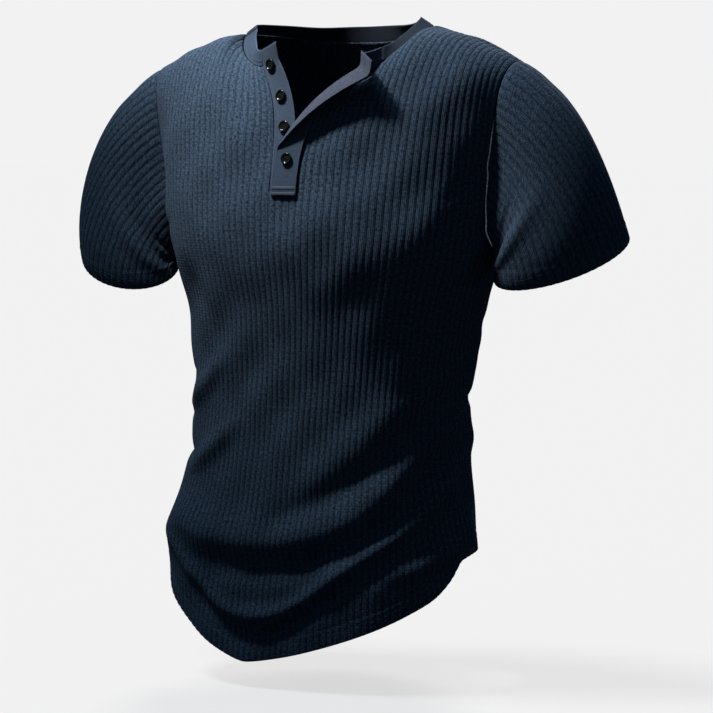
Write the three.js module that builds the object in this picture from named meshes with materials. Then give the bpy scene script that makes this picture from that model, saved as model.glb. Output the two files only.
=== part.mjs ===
// Short-sleeved henley shirt in rib knit, hollow as it is worn, with its placket open.
// Millimetres. +Z is up, the front faces -Y and the wearer's left is +X.
// The origin lies between the two neck points of the shoulders, where the wearer carries the shirt.
import * as THREE from 'three';

// Knit and seams
const RIB_PITCH = 8;
const RIB_HEIGHT = 0.8;
const RIB_HEIGHT_AT_SEAM = 0.1;
const WALL = 1.8;
const SEAM_GAP = 0.3;
const INNER_SKIP = 4;

// Cut of the body panels, counted in ribs from the centre line
const HALF_RIBS = 32;
const ARMHOLE_RIB = 28;
const NECK_RIB = 12;
const PLACKET_RIB = 2;

// Levels of the body
const CHEST = -180;
const UNDERARM = -240;
const ROUNDNESS = 2.25;
const TYPICAL_SECTION = { halfWidth: 185, depth: 118 };

// Body sections from the armholes down to the hem
const BODY_SECTIONS = [
  { z: -700, x: -19, y: 0, halfWidth: 182, front: 124, back: 112 },
  { z: -590, x: -17, y: 0, halfWidth: 178, front: 124, back: 110 },
  { z: -520, x: -13, y: 0, halfWidth: 168, front: 120, back: 106 },
  { z: -450, x: -9, y: 0, halfWidth: 160, front: 115, back: 100 },
  { z: -380, x: -5, y: 0, halfWidth: 162, front: 114, back: 98 },
  { z: -310, x: -2, y: 0, halfWidth: 170, front: 118, back: 104 },
  { z: -240, x: -2, y: 0, halfWidth: 192, front: 126, back: 112 },
  { z: -180, x: -4, y: 2, halfWidth: 201, front: 121, back: 116 },
  { z: -120, x: -4, y: 4, halfWidth: 200, front: 106, back: 112 },
];

// Shirt-tail hem: its lowest point and how fast it climbs to each side seam
const HEM = {
  lowest: -687,
  rib: -4,
  leftClimb: 80,
  leftPower: 1.4,
  rightClimb: 165,
  rightPower: 1.5,
  cornerLift: 12,
  cornerPower: 7,
};
const BACK_TAIL = 78;

// Neck point, shoulder point and open neckline corner on the wearer's left and right
const LEFT = {
  side: 1,
  neck: [114, 4, -4],
  shoulder: [214, 8, -42],
  corner: [79, -88, -51],
  cornerHeading: [0.85, 0.2, 0.48],
  neckPull: [-3, -34, -20],
  backNeckPull: [-9, 34, -2],
  cornerPull: [14, 14, 1],
};
const RIGHT = {
  side: -1,
  neck: [-117, 4, -8],
  shoulder: [-222, 6, -44],
  corner: [-50, -80, -46],
  cornerHeading: [-0.5, 0.25, 0.83],
  neckPull: [8, -42, -22],
  backNeckPull: [9, 34, 2],
  cornerPull: [-12, 4, -5],
};
const BACK_NECK = { y: 74, z: -17, spread: 48 };
const SHOULDER_CROWN = 5;
const CHEST_HANDLE = 0.42;
const TOP_HANDLE = 0.42;

// Folds of the body. Ribs are counted round from the centre front, positive to the wearer's left,
// and 64 is the centre back. A positive rise is a ridge, a negative one a trough.
const BODY_FOLDS = [
  { name: 'chest drape', from: [42, -300], via: [21, -405], to: [2, -500], width: 26, rise: 6 },
  { name: 'upper swag', from: [42, -330], via: [20, -440], to: [3, -530], width: 20, rise: -10 },
  { name: 'middle swag', from: [42, -415], via: [12, -553], to: [-18, -572], width: 18, rise: -11 },
  { name: 'swag crest', from: [40, -430], via: [4, -628], to: [-24, -545], width: 14, rise: 8 },
  { name: 'lower swag', from: [40, -470], via: [11, -603], to: [-14, -650], width: 16, rise: -9 },
  { name: 'hem crest', from: [42, -515], via: [29, -556], to: [14, -602], width: 13, rise: 6 },
  { name: 'right hip fullness', from: [-36, -540], via: [-20, -558], to: [-5, -562], width: 34, rise: 11 },
  { name: 'right waist ridge', from: [-12, -362], via: [-18, -393], to: [-25, -418], width: 14, rise: 4 },
  { name: 'right waist trough', from: [-15, -452], via: [-26, -468], to: [-38, -470], width: 14, rise: -6 },
  { name: 'back waist trough', from: [50, -332], via: [64, -348], to: [78, -336], width: 18, rise: -6 },
  { name: 'back upper swag', from: [36, -385], via: [58, -480], to: [82, -450], width: 20, rise: -9 },
  { name: 'back crest', from: [38, -440], via: [60, -545], to: [86, -500], width: 16, rise: 7 },
  { name: 'back lower swag', from: [40, -500], via: [60, -592], to: [84, -535], width: 18, rise: -8 },
];
const FOLD_STEPS = 10;

// Sleeves. The cuff is an oval whose long axis points outwards; angles are in degrees.
const SLEEVE_HALF_RIBS = 24;
const SLEEVE_ROWS = 6;
const LEFT_SLEEVE = {
  corners: LEFT,
  cuff: [259, 18, -253],
  long: 75,
  short: 50,
  turn: 28,
  outerLift: 18,
  frontDrop: 24,
};
const RIGHT_SLEEVE = {
  corners: RIGHT,
  cuff: [-272, 6, -263],
  long: 80,
  short: 50,
  turn: 28,
  outerLift: 16,
  frontDrop: 24,
};
const SLEEVE_START = {
  top: [0.9, 0, -0.44],
  middle: [0.85, 0.25, -0.45],
  under: [0.75, 0, -0.66],
};
const SLEEVE_HANDLES = { top: 0.36, under: 0.3, cuff: 0.34 };
// Folds of a sleeve: turn is 0 on the top line and 1 under the arm at the front, reach is 0 to 1.
const SLEEVE_FOLDS = [
  { name: 'front pull', from: [0.95, 0.7], via: [0.72, 0.55], to: [0.5, 0.45], width: 16, rise: 5 },
  { name: 'back pull', from: [-0.95, 0.65], via: [-0.7, 0.5], to: [-0.45, 0.45], width: 16, rise: 4 },
];
const SLEEVE_GAP = 0.5;
const SLEEVE_GIRTH = 400;
const SLEEVE_LENGTH = 210;

// Grid of the body panels, in rows and in pairs of ribs
const LOWER_ROWS = 15;
const UPPER_ROWS = 6;
const BACK_LOWER_ROWS = 10;
const BACK_UPPER_ROWS = 5;
const ROW_CROWDING = 0.72;

// Neckband and placket bands
const NECKBAND = {
  height: 17,
  wall: 1.8,
  gap: 0.45,
  shoulderGap: 1.1,
  rows: 2,
  frontSteps: 10,
  backSteps: 24,
};
const BUTTON_BAND = { width: 27, wall: 1.6, steps: 12, columns: 4 };
const BUTTONHOLE_BAND = { width: 29, wall: 1.6, lift: 2.8, lap: 0.7, foot: 5, steps: 16, columns: 8 };
const ROLL = {
  start: -140,
  radius: 1.8,
  fullWithin: 12,
  narrowing: 1.9,
  leastBend: 3,
  flapLow: [0.55, -0.8, -0.25],
  flapHigh: [0.74, -0.53, -0.41],
};

// Buttons
const BUTTON = { gap: 0.5, radius: 6.5, height: 3, dish: 1.1, rim: 1.4, sides: 16 };
const BUTTON_LEVELS = [-45, -79, -112, -146];

const CLOTH = { color: 0x2a3a4d, roughness: 0.92, metalness: 0 };
const BAND_CLOTH = { color: 0x38465a, roughness: 0.88, metalness: 0 };
const BUTTON_PLASTIC = { color: 0x15181a, roughness: 0.35, metalness: 0 };

// Small helpers

const vector = (values) => new THREE.Vector3(...values);
const unit = (values) => vector(values).normalize();
const lerp = (a, b, t) => a + (b - a) * t;
const radians = (degrees) => (degrees * Math.PI) / 180;

/** Point that lies `distance` from `point` along `direction`. */
function moved(point, direction, distance) {
  return point.clone().addScaledVector(direction, distance);
}

/** Point at t on the cubic curve with four control points. */
function cubic(p0, p1, p2, p3, t) {
  return new THREE.CubicBezierCurve3(p0, p1, p2, p3).getPoint(t);
}

/** Value of one column of the body sections at height z, on a smooth curve through the rows. */
function sectionValue(key, z) {
  const rows = BODY_SECTIONS;
  const last = rows.length - 1;
  const slope = (i) => {
    const a = rows[Math.max(0, i - 1)];
    const b = rows[Math.min(last, i + 1)];
    return (b[key] - a[key]) / (b.z - a.z);
  };
  let i = 0;
  while (i < last - 1 && z > rows[i + 1].z) i += 1;
  const span = rows[i + 1].z - rows[i].z;
  const t = THREE.MathUtils.clamp((z - rows[i].z) / span, 0, 1);
  const t2 = t * t;
  const t3 = t2 * t;
  return (2 * t3 - 3 * t2 + 1) * rows[i][key] + (t3 - 2 * t2 + t) * span * slope(i)
    + (3 * t2 - 2 * t3) * rows[i + 1][key] + (t3 - t2) * span * slope(i + 1);
}

/** Rounded section: point at an angle from the centre line, 0, to the side, a quarter turn. */
function sectionOffset(angle, halfWidth, depth) {
  const power = 2 / ROUNDNESS;
  const across = halfWidth * Math.max(0, Math.sin(angle)) ** power;
  const along = depth * Math.max(0, Math.cos(angle)) ** power;
  return { across, along };
}

const ARC_STEPS = 160;
const ARC_LENGTHS = (() => {
  const lengths = [0];
  let before = sectionOffset(0, TYPICAL_SECTION.halfWidth, TYPICAL_SECTION.depth);
  for (let i = 1; i <= ARC_STEPS; i += 1) {
    const angle = ((Math.PI / 2) * i) / ARC_STEPS;
    const now = sectionOffset(angle, TYPICAL_SECTION.halfWidth, TYPICAL_SECTION.depth);
    lengths.push(lengths[i - 1] + Math.hypot(now.across - before.across, now.along - before.along));
    before = now;
  }
  return lengths;
})();

/** Angle at which a share of the arc from the centre line to the side seam is used up. */
function angleAtShare(share) {
  const goal = share * ARC_LENGTHS[ARC_STEPS];
  let i = 0;
  while (i < ARC_STEPS - 1 && ARC_LENGTHS[i + 1] < goal) i += 1;
  const part = (goal - ARC_LENGTHS[i]) / (ARC_LENGTHS[i + 1] - ARC_LENGTHS[i]);
  return ((Math.PI / 2) * (i + part)) / ARC_STEPS;
}

/** Smooth point of the body below the armholes, with the way out of the cloth there. */
function bodyPoint(rib, z, back) {
  const side = Math.sign(rib) || 1;
  const facing = back ? 1 : -1;
  const halfWidth = sectionValue('halfWidth', z);
  const depth = sectionValue(back ? 'back' : 'front', z);
  const { across, along } = sectionOffset(angleAtShare(Math.abs(rib) / HALF_RIBS), halfWidth, depth);
  const point = vector([
    sectionValue('x', z) + side * across,
    sectionValue('y', z) + facing * along,
    z,
  ]);
  const out = unit([
    (side * (across / halfWidth) ** (ROUNDNESS - 1)) / halfWidth,
    (facing * (along / depth) ** (ROUNDNESS - 1)) / depth,
    0,
  ]);
  return { point, out };
}

/** Height of the hem on a rib. */
function hemLevel(rib, back) {
  const front = (r) => {
    const share = (r - HEM.rib) / HALF_RIBS;
    const rise = share > 0
      ? HEM.leftClimb * share ** HEM.leftPower + HEM.cornerLift * share ** HEM.cornerPower
      : HEM.rightClimb * (-share) ** HEM.rightPower;
    return HEM.lowest + rise;
  };
  if (!back) return front(rib);
  const seam = lerp(front(-HALF_RIBS), front(HALF_RIBS), (rib / HALF_RIBS + 1) / 2);
  return seam - (BACK_TAIL * (1 + Math.cos((Math.PI * rib) / HALF_RIBS))) / 2;
}

/** Height at which a rib outside the armhole ends, on a quarter oval down to the underarm. */
function armholeLevel(rib) {
  const share = (HALF_RIBS - Math.abs(rib)) / (HALF_RIBS - ARMHOLE_RIB);
  const q = THREE.MathUtils.clamp(share, 0, 1);
  return lerp(CHEST, UNDERARM, Math.sqrt(1 - q * q));
}

/** Where a rib ends at the shoulder seam or the neckline, and which way the cloth runs there. */
function topEdge(rib, back) {
  const corners = rib < 0 ? RIGHT : LEFT;
  const count = Math.abs(rib);
  const neck = vector(corners.neck);
  if (count >= NECK_RIB) {
    const t = (count - NECK_RIB) / (ARMHOLE_RIB - NECK_RIB);
    const point = neck.lerp(vector(corners.shoulder), t);
    point.z += SHOULDER_CROWN * Math.sin(Math.PI * t);
    return { point, heading: unit([0, back ? -1 : 1, 0]) };
  }
  if (back) {
    const t = count / NECK_RIB;
    const centre = vector([0, BACK_NECK.y, BACK_NECK.z]);
    const start = vector([corners.side * BACK_NECK.spread, BACK_NECK.y, BACK_NECK.z]);
    const end = neck.clone().add(vector(corners.backNeckPull));
    const heading = unit([0, -0.55 - 0.45 * t, 0.83 * (1 - t)]);
    return { point: cubic(centre, start, end, neck, t), heading };
  }
  const t = THREE.MathUtils.clamp((count - PLACKET_RIB) / (NECK_RIB - PLACKET_RIB), 0, 1);
  const corner = vector(corners.corner);
  const start = corner.clone().add(vector(corners.cornerPull));
  const end = neck.clone().add(vector(corners.neckPull));
  const heading = vector(corners.cornerHeading).lerp(vector([0, 1, 0]), t).normalize();
  return { point: cubic(corner, start, end, neck, t), heading };
}

const SLOPE_STEP = 3;

/** Smooth point of the body above the chest line: reach 0 is the chest line and 1 the top edge. */
function upperPoint(rib, reach, back) {
  const low = bodyPoint(rib, CHEST, back).point;
  const lower = bodyPoint(rib, CHEST - SLOPE_STEP, back).point;
  const rising = low.clone().sub(lower).normalize();
  const top = topEdge(rib, back);
  const span = top.point.distanceTo(low);
  const first = moved(low, rising, span * CHEST_HANDLE);
  const second = moved(top.point, top.heading, -span * TOP_HANDLE);
  return cubic(low, first, second, top.point, reach);
}

/** Way out of a surface at (a, b), from the surface function's own small steps. */
function surfaceNormal(surface, a, b, stepA, stepB) {
  const alongA = surface(a + stepA, b).sub(surface(a - stepA, b));
  const alongB = surface(a, b + stepB).sub(surface(a, b - stepB));
  return alongA.cross(alongB).normalize();
}

/** Distance from (a, b) to the segment p-q, all in millimetres of cloth, and the place along it. */
function toSegment(a, b, p, q) {
  const dx = q[0] - p[0];
  const dy = q[1] - p[1];
  const t = THREE.MathUtils.clamp(((a - p[0]) * dx + (b - p[1]) * dy) / (dx * dx + dy * dy), 0, 1);
  return { distance: Math.hypot(a - p[0] - dx * t, b - p[1] - dy * t), t };
}

/** Rise of one fold at (a, b): a soft ridge along a path through three points, fading at its ends. */
function foldRise(fold, a, b, scaleA, scaleB) {
  const at = (t) => [0, 1].map((k) => (1 - t) * (1 - 2 * t) * fold.from[k]
    + 4 * t * (1 - t) * fold.via[k] + t * (2 * t - 1) * fold.to[k]);
  let best = 0;
  for (let i = 0; i < FOLD_STEPS; i += 1) {
    const p = at(i / FOLD_STEPS);
    const q = at((i + 1) / FOLD_STEPS);
    const near = toSegment(a * scaleA, b * scaleB,
      [p[0] * scaleA, p[1] * scaleB], [q[0] * scaleA, q[1] * scaleB]);
    const place = (i + near.t) / FOLD_STEPS;
    const fade = Math.sqrt(Math.sin(Math.PI * place));
    best = Math.max(best, fade * Math.exp(-((near.distance / fold.width) ** 2)));
  }
  return best * fold.rise;
}

/** Rise of all the body's folds at a rib counted round the body and a height. */
function bodyFolds(rib, z) {
  const round = 4 * HALF_RIBS;
  let rise = 0;
  for (const fold of BODY_FOLDS) {
    const shift = rib < fold.via[0] - round / 2 ? round : rib > fold.via[0] + round / 2 ? -round : 0;
    rise += foldRise(fold, rib + shift, z, RIB_PITCH, 1);
  }
  return rise;
}

/** Rib number counted round the body from the centre front. */
function roundRib(rib, back) {
  if (!back) return rib;
  return rib >= 0 ? 2 * HALF_RIBS - rib : -2 * HALF_RIBS - rib;
}

/** Draped point of a body panel: row 0 is the hem, `lower` the chest line and the last the top. */
function panelPoint(rib, row, lower, upper, back) {
  if (row <= lower) {
    const t = row / lower;
    const share = t * (ROW_CROWDING + (1 - ROW_CROWDING) * t);
    const top = Math.abs(rib) > ARMHOLE_RIB ? armholeLevel(rib) : CHEST;
    const { point, out } = bodyPoint(rib, lerp(hemLevel(rib, back), top, share), back);
    return { point: moved(point, out, bodyFolds(roundRib(rib, back), point.z)), out };
  }
  const reach = (row - lower) / upper;
  const surface = (a, b) => upperPoint(a, Math.min(1, b), back);
  const out = surfaceNormal(surface, rib, reach, 0.05, 0.01).multiplyScalar(back ? -1 : 1);
  const point = surface(rib, reach);
  return { point: moved(point, out, bodyFolds(roundRib(rib, back), point.z)), out };
}

// Closed walls

/**
 * Closes a wall of cloth between an outer grid and a plain inner one.
 * outer[row][column] has `skip` columns for each of inner[row][cell]; present(row, cell) is true
 * where there is cloth. A wrapped wall closes on itself in the direction of its columns.
 */
function closeWall(outer, inner, skip, present, wrapped = false) {
  const rows = inner.length - 1;
  const cells = wrapped ? inner[0].length : inner[0].length - 1;
  const positions = [];
  const ids = new Map();
  const triangles = [];
  const id = (grid, row, column) => {
    const line = grid[row];
    const k = column % line.length;
    const key = `${grid === outer ? 'o' : 'i'}${row},${k}`;
    if (!ids.has(key)) {
      ids.set(key, positions.length / 3);
      positions.push(line[k].x, line[k].y, line[k].z);
    }
    return ids.get(key);
  };
  const strip = (edge, pair) => {
    const middle = Math.floor((edge.length - 1) / 2);
    for (let j = 0; j < edge.length - 1; j += 1) {
      if (j === middle) triangles.push([edge[j], pair[0], pair[1]]);
      triangles.push([edge[j + 1], edge[j], j < middle ? pair[0] : pair[1]]);
    }
  };
  const cloth = (row, cell) => {
    if (row < 0 || row >= rows) return false;
    if (!wrapped && (cell < 0 || cell >= cells)) return false;
    return present(row, (cell + cells) % cells);
  };
  for (let r = 0; r < rows; r += 1) {
    for (let k = 0; k < cells; k += 1) {
      if (!cloth(r, k)) continue;
      for (let j = k * skip; j < (k + 1) * skip; j += 1) {
        const [a, b] = [id(outer, r, j), id(outer, r, j + 1)];
        const [c, d] = [id(outer, r + 1, j + 1), id(outer, r + 1, j)];
        triangles.push([a, b, c], [a, c, d]);
      }
      const [a, b] = [id(inner, r, k), id(inner, r, k + 1)];
      const [c, d] = [id(inner, r + 1, k + 1), id(inner, r + 1, k)];
      triangles.push([a, c, b], [a, d, c]);
      const edge = (row) => Array.from({ length: skip + 1 }, (_, j) => id(outer, row, k * skip + j));
      const start = k * skip;
      const end = start + skip;
      if (!cloth(r - 1, k)) strip(edge(r), [a, b]);
      if (!cloth(r + 1, k)) strip(edge(r + 1).reverse(), [c, d]);
      if (!cloth(r, k - 1)) strip([id(outer, r + 1, start), id(outer, r, start)], [d, a]);
      if (!cloth(r, k + 1)) strip([id(outer, r, end), id(outer, r + 1, end)], [b, c]);
    }
  }
  return closedGeometry(positions, triangles);
}

/** Geometry of a closed body, turned so that its faces point out. */
function closedGeometry(positions, triangles) {
  const corner = (i) => new THREE.Vector3().fromArray(positions, 3 * i);
  let volume = 0;
  for (const [a, b, c] of triangles) volume += corner(a).dot(corner(b).cross(corner(c)));
  const index = triangles.flatMap(([a, b, c]) => (volume < 0 ? [a, c, b] : [a, b, c]));
  const geometry = new THREE.BufferGeometry();
  geometry.setAttribute('position', new THREE.Float32BufferAttribute(positions, 3));
  geometry.setIndex(index);
  geometry.computeVertexNormals();
  return geometry;
}

/** Closed strip whose middle surface is grid[row][column], with half its wall on each side. */
function closeStrip(grid, thickness) {
  const lines = grid.length - 1;
  const last = grid[0].length - 1;
  const side = (distance) => grid.map((line, r) => line.map((point, c) => {
    const alongRow = grid[r][Math.min(last, c + 1)].clone().sub(grid[r][Math.max(0, c - 1)]);
    const alongColumn = grid[Math.min(lines, r + 1)][c].clone().sub(grid[Math.max(0, r - 1)][c]);
    return moved(point, alongRow.cross(alongColumn).normalize(), distance);
  }));
  return closeWall(side(thickness / 2), side(-thickness / 2), 1, () => true);
}

// The cloth pieces

/** Height of the outer surface on a column: every second column is the crest of a rib. */
function ribHeight(column, atSeam) {
  if (column % 2 === 0) return 0;
  return atSeam ? RIB_HEIGHT_AT_SEAM : RIB_HEIGHT;
}

/** Front or back panel with raised ribs outside and a plain inside. */
function bodyPanel(back) {
  const lower = back ? BACK_LOWER_ROWS : LOWER_ROWS;
  const upper = back ? BACK_UPPER_ROWS : UPPER_ROWS;
  const rows = lower + upper;
  const columns = 4 * HALF_RIBS;
  const trim = SEAM_GAP / 2 / RIB_PITCH;
  const topTrim = SEAM_GAP / 2 / -CHEST;
  const ribAt = (column) => {
    const rib = -HALF_RIBS + (2 * HALF_RIBS * column) / columns;
    return THREE.MathUtils.clamp(rib, trim - HALF_RIBS, HALF_RIBS - trim);
  };
  const outer = [];
  const inner = [];
  for (let r = 0; r <= rows; r += 1) {
    const row = r === rows ? r - topTrim * upper : r;
    outer.push([]);
    inner.push([]);
    for (let c = 0; c <= columns; c += 1) {
      const rib = ribAt(c);
      const outside = Math.abs(rib) > ARMHOLE_RIB && r > lower;
      const notch = !back && Math.abs(rib) < PLACKET_RIB && r > lower;
      const { point, out } = panelPoint(rib, outside || notch ? lower : row, lower, upper, back);
      const atSeam = r === rows || (Math.abs(rib) > ARMHOLE_RIB && r === lower);
      outer[r].push(moved(point, out, ribHeight(c, atSeam)));
      if (c % INNER_SKIP === 0) inner[r].push(moved(point, out, -WALL));
    }
  }
  const cellRib = (cell) => Math.abs(-HALF_RIBS + (cell + 0.5) * (INNER_SKIP / 2));
  const present = (row, cell) => row < lower
    || (cellRib(cell) < ARMHOLE_RIB && (back || cellRib(cell) > PLACKET_RIB));
  return closeWall(outer, inner, INNER_SKIP, present);
}

/** Points spread evenly along a line of points. */
function spread(points, count) {
  const lengths = [0];
  for (let i = 1; i < points.length; i += 1) {
    lengths.push(lengths[i - 1] + points[i].distanceTo(points[i - 1]));
  }
  const total = lengths[lengths.length - 1];
  const result = [];
  let i = 0;
  for (let k = 0; k <= count; k += 1) {
    const goal = (total * k) / count;
    while (i < points.length - 2 && lengths[i + 1] < goal) i += 1;
    const part = (goal - lengths[i]) / (lengths[i + 1] - lengths[i]);
    result.push(points[i].clone().lerp(points[i + 1], THREE.MathUtils.clamp(part, 0, 1)));
  }
  return result;
}

const ARMHOLE_SAMPLES = 24;

/** Half of an armhole, from the shoulder point down to the underarm, spread into ribs. */
function armholeHalf(side, back) {
  const points = [];
  for (let i = 0; i <= ARMHOLE_SAMPLES; i += 1) {
    const row = UPPER_ROWS * (1 - i / ARMHOLE_SAMPLES);
    points.push(panelPoint(side * ARMHOLE_RIB, LOWER_ROWS + row, LOWER_ROWS, UPPER_ROWS, back).point);
  }
  for (let i = 1; i <= ARMHOLE_SAMPLES; i += 1) {
    const rib = lerp(ARMHOLE_RIB, HALF_RIBS, i / ARMHOLE_SAMPLES);
    points.push(panelPoint(side * rib, LOWER_ROWS, LOWER_ROWS, UPPER_ROWS, back).point);
  }
  return spread(points, 2 * SLEEVE_HALF_RIBS);
}

/** Oval of the cuff: its centre, its two half axes and the way that the arm leaves it. */
function cuffOval(sleeve) {
  const { side } = sleeve.corners;
  const turn = radians(sleeve.turn);
  const long = unit([side * Math.cos(turn), Math.sin(turn), Math.tan(radians(sleeve.outerLift))]);
  const front = unit([side * Math.sin(turn), -Math.cos(turn), -Math.tan(radians(sleeve.frontDrop))]);
  const axis = long.clone().cross(front).normalize();
  if (axis.z > 0) axis.negate();
  return {
    axis,
    at: (angle) => moved(moved(vector(sleeve.cuff), long, sleeve.long * Math.cos(angle)),
      front, sleeve.short * Math.sin(angle)),
  };
}

/** Sleeve: its ribs run from the armhole to the cuff. */
function sleeveWall(sleeve) {
  const { side } = sleeve.corners;
  const count = 2 * SLEEVE_HALF_RIBS;
  const frontHalf = armholeHalf(side, false);
  const backHalf = armholeHalf(side, true);
  const cuff = cuffOval(sleeve);
  const around = 2 * count;
  const line = (column) => {
    const isBack = column > count;
    const step = isBack ? around - column : column;
    const t = step / count;
    const facing = isBack ? 1 : -1;
    const start = (isBack ? backHalf : frontHalf)[step];
    const heading = vector([0, 0, 0])
      .addScaledVector(vector(SLEEVE_START.top), (1 - t) ** 2)
      .addScaledVector(vector(SLEEVE_START.middle), 2 * t * (1 - t))
      .addScaledVector(vector(SLEEVE_START.under), t * t)
      .multiply(vector([side, facing, 1]))
      .normalize();
    const end = cuff.at(Math.PI * t * (isBack ? -1 : 1));
    const from = moved(start, heading, SLEEVE_GAP);
    const span = end.distanceTo(from);
    const first = moved(from, heading, span * lerp(SLEEVE_HANDLES.top, SLEEVE_HANDLES.under, t));
    const second = moved(end, cuff.axis, -span * SLEEVE_HANDLES.cuff);
    return { curve: new THREE.CubicBezierCurve3(from, first, second, end), turn: isBack ? -t : t };
  };
  const lines = Array.from({ length: around }, (_, column) => line(column));
  const bare = (column, reach) => lines[(column + around) % around].curve.getPoint(reach);
  const outer = [];
  const inner = [];
  for (let r = 0; r <= SLEEVE_ROWS; r += 1) {
    const reach = r / SLEEVE_ROWS;
    outer.push([]);
    inner.push([]);
    for (let c = 0; c < around; c += 1) {
      const across = bare(c + 1, reach).sub(bare(c - 1, reach));
      const along = bare(c, Math.min(1, reach + 0.02)).sub(bare(c, Math.max(0, reach - 0.02)));
      const out = across.cross(along).normalize().multiplyScalar(side);
      let rise = 0;
      for (const fold of SLEEVE_FOLDS) {
        rise += foldRise(fold, lines[c].turn, reach, SLEEVE_GIRTH / 2, SLEEVE_LENGTH);
      }
      const point = moved(bare(c, reach), out, rise * Math.sin(Math.PI * reach));
      outer[r].push(moved(point, out, ribHeight(c, r === 0)));
      if (c % INNER_SKIP === 0) inner[r].push(moved(point, out, -WALL));
    }
  }
  return closeWall(outer, inner, INNER_SKIP, () => true, true);
}

/** Way in which the neckband stands up: inwards at the shoulders, a little outwards at the open front. */
function neckbandRise(point) {
  const inward = vector([-point.x, -point.y, 0]).normalize();
  const sideways = inward.x ** 2;
  const splay = 0.5 * (1 - THREE.MathUtils.smoothstep(point.y, -85, -25));
  const lean = lerp(0.3, 0.85, sideways) - splay;
  return inward.multiplyScalar(lean).add(vector([0, 0, lerp(0.95, 0.55, sideways)])).normalize();
}

/** Neckline from the wearer's right corner round the back to the left corner. */
function neckline() {
  const { frontSteps, backSteps } = NECKBAND;
  const places = [];
  const add = (from, to, steps, back) => {
    for (let i = 0; i < steps; i += 1) places.push({ rib: lerp(from, to, i / steps), back });
  };
  add(-PLACKET_RIB, -NECK_RIB, frontSteps, false);
  add(-NECK_RIB, NECK_RIB, backSteps, true);
  add(NECK_RIB, PLACKET_RIB, frontSteps, false);
  places.push({ rib: PLACKET_RIB, back: false });
  return places.map(({ rib, back }) => {
    const lower = back ? BACK_LOWER_ROWS : LOWER_ROWS;
    const upper = back ? BACK_UPPER_ROWS : UPPER_ROWS;
    return panelPoint(rib, lower + upper, lower, upper, back);
  });
}

/** Plain band that stands round the neckline. Its foot is cut on the slant of the panels' edges. */
function neckband() {
  const seam = neckline();
  const rises = seam.map(({ point }) => neckbandRise(point));
  const extraGap = (point) => NECKBAND.shoulderGap * (point.x / LEFT.neck[0]) ** 6;
  const outer = [];
  const inner = [];
  for (let r = 0; r <= NECKBAND.rows; r += 1) {
    const height = NECKBAND.gap + (NECKBAND.height * r) / NECKBAND.rows;
    outer.push(seam.map(({ point }, i) => moved(point, rises[i], height + extraGap(point))));
    inner.push(seam.map(({ out }, i) => {
      const along = outer[r][Math.min(seam.length - 1, i + 1)].clone().sub(outer[r][Math.max(0, i - 1)]);
      const own = along.cross(rises[i]).normalize();
      if (own.dot(out) < 0) own.negate();
      return moved(outer[r][i], r === 0 ? out : own, -NECKBAND.wall);
    }));
  }
  return closeWall(outer, inner, 1, () => true);
}

/** Edge that a placket band is sewn to: the slit and the neckband's end above it. */
function slitEdge(corners) {
  const rib = corners.side * PLACKET_RIB;
  const points = [];
  for (let i = 0; i <= ARMHOLE_SAMPLES; i += 1) {
    points.push(upperPoint(rib, i / ARMHOLE_SAMPLES, false));
  }
  const corner = points[points.length - 1];
  points.push(moved(corner, neckbandRise(corner), NECKBAND.height));
  return points;
}

/** Band of buttons, on the wearer's right of the opening. It stands forward towards its top. */
function buttonBandGrid() {
  const { width, wall, steps, columns } = BUTTON_BAND;
  return spread(slitEdge(RIGHT), steps).map((seam, i) => {
    const t = i / steps;
    const across = unit([1, -0.3 * t ** 2 - 0.2 * t ** 4, 0.35 * t ** 3]);
    const foot = moved(seam, new THREE.Vector3(0, 1, 0), wall / 2);
    if (i === 0) foot.z += SEAM_GAP;
    return Array.from({ length: columns + 1 }, (_, c) => moved(foot, across,
      2 * SEAM_GAP + ((width - 2 * SEAM_GAP) * c) / columns));
  });
}

/** Places across a band: a quarter of the columns before its roll, half on it, a quarter past it. */
function foldPlaces(flat, bend, width, columns) {
  const rolled = Math.max(bend, ROLL.leastBend);
  const before = Math.min(flat, width - rolled - ROLL.leastBend);
  return Array.from({ length: columns + 1 }, (_, c) => {
    const share = (4 * c) / columns;
    if (share <= 1) return before * share;
    if (share <= 3) return before + (rolled * (share - 1)) / 2;
    return lerp(before + rolled, width, share - 3);
  });
}

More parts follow.
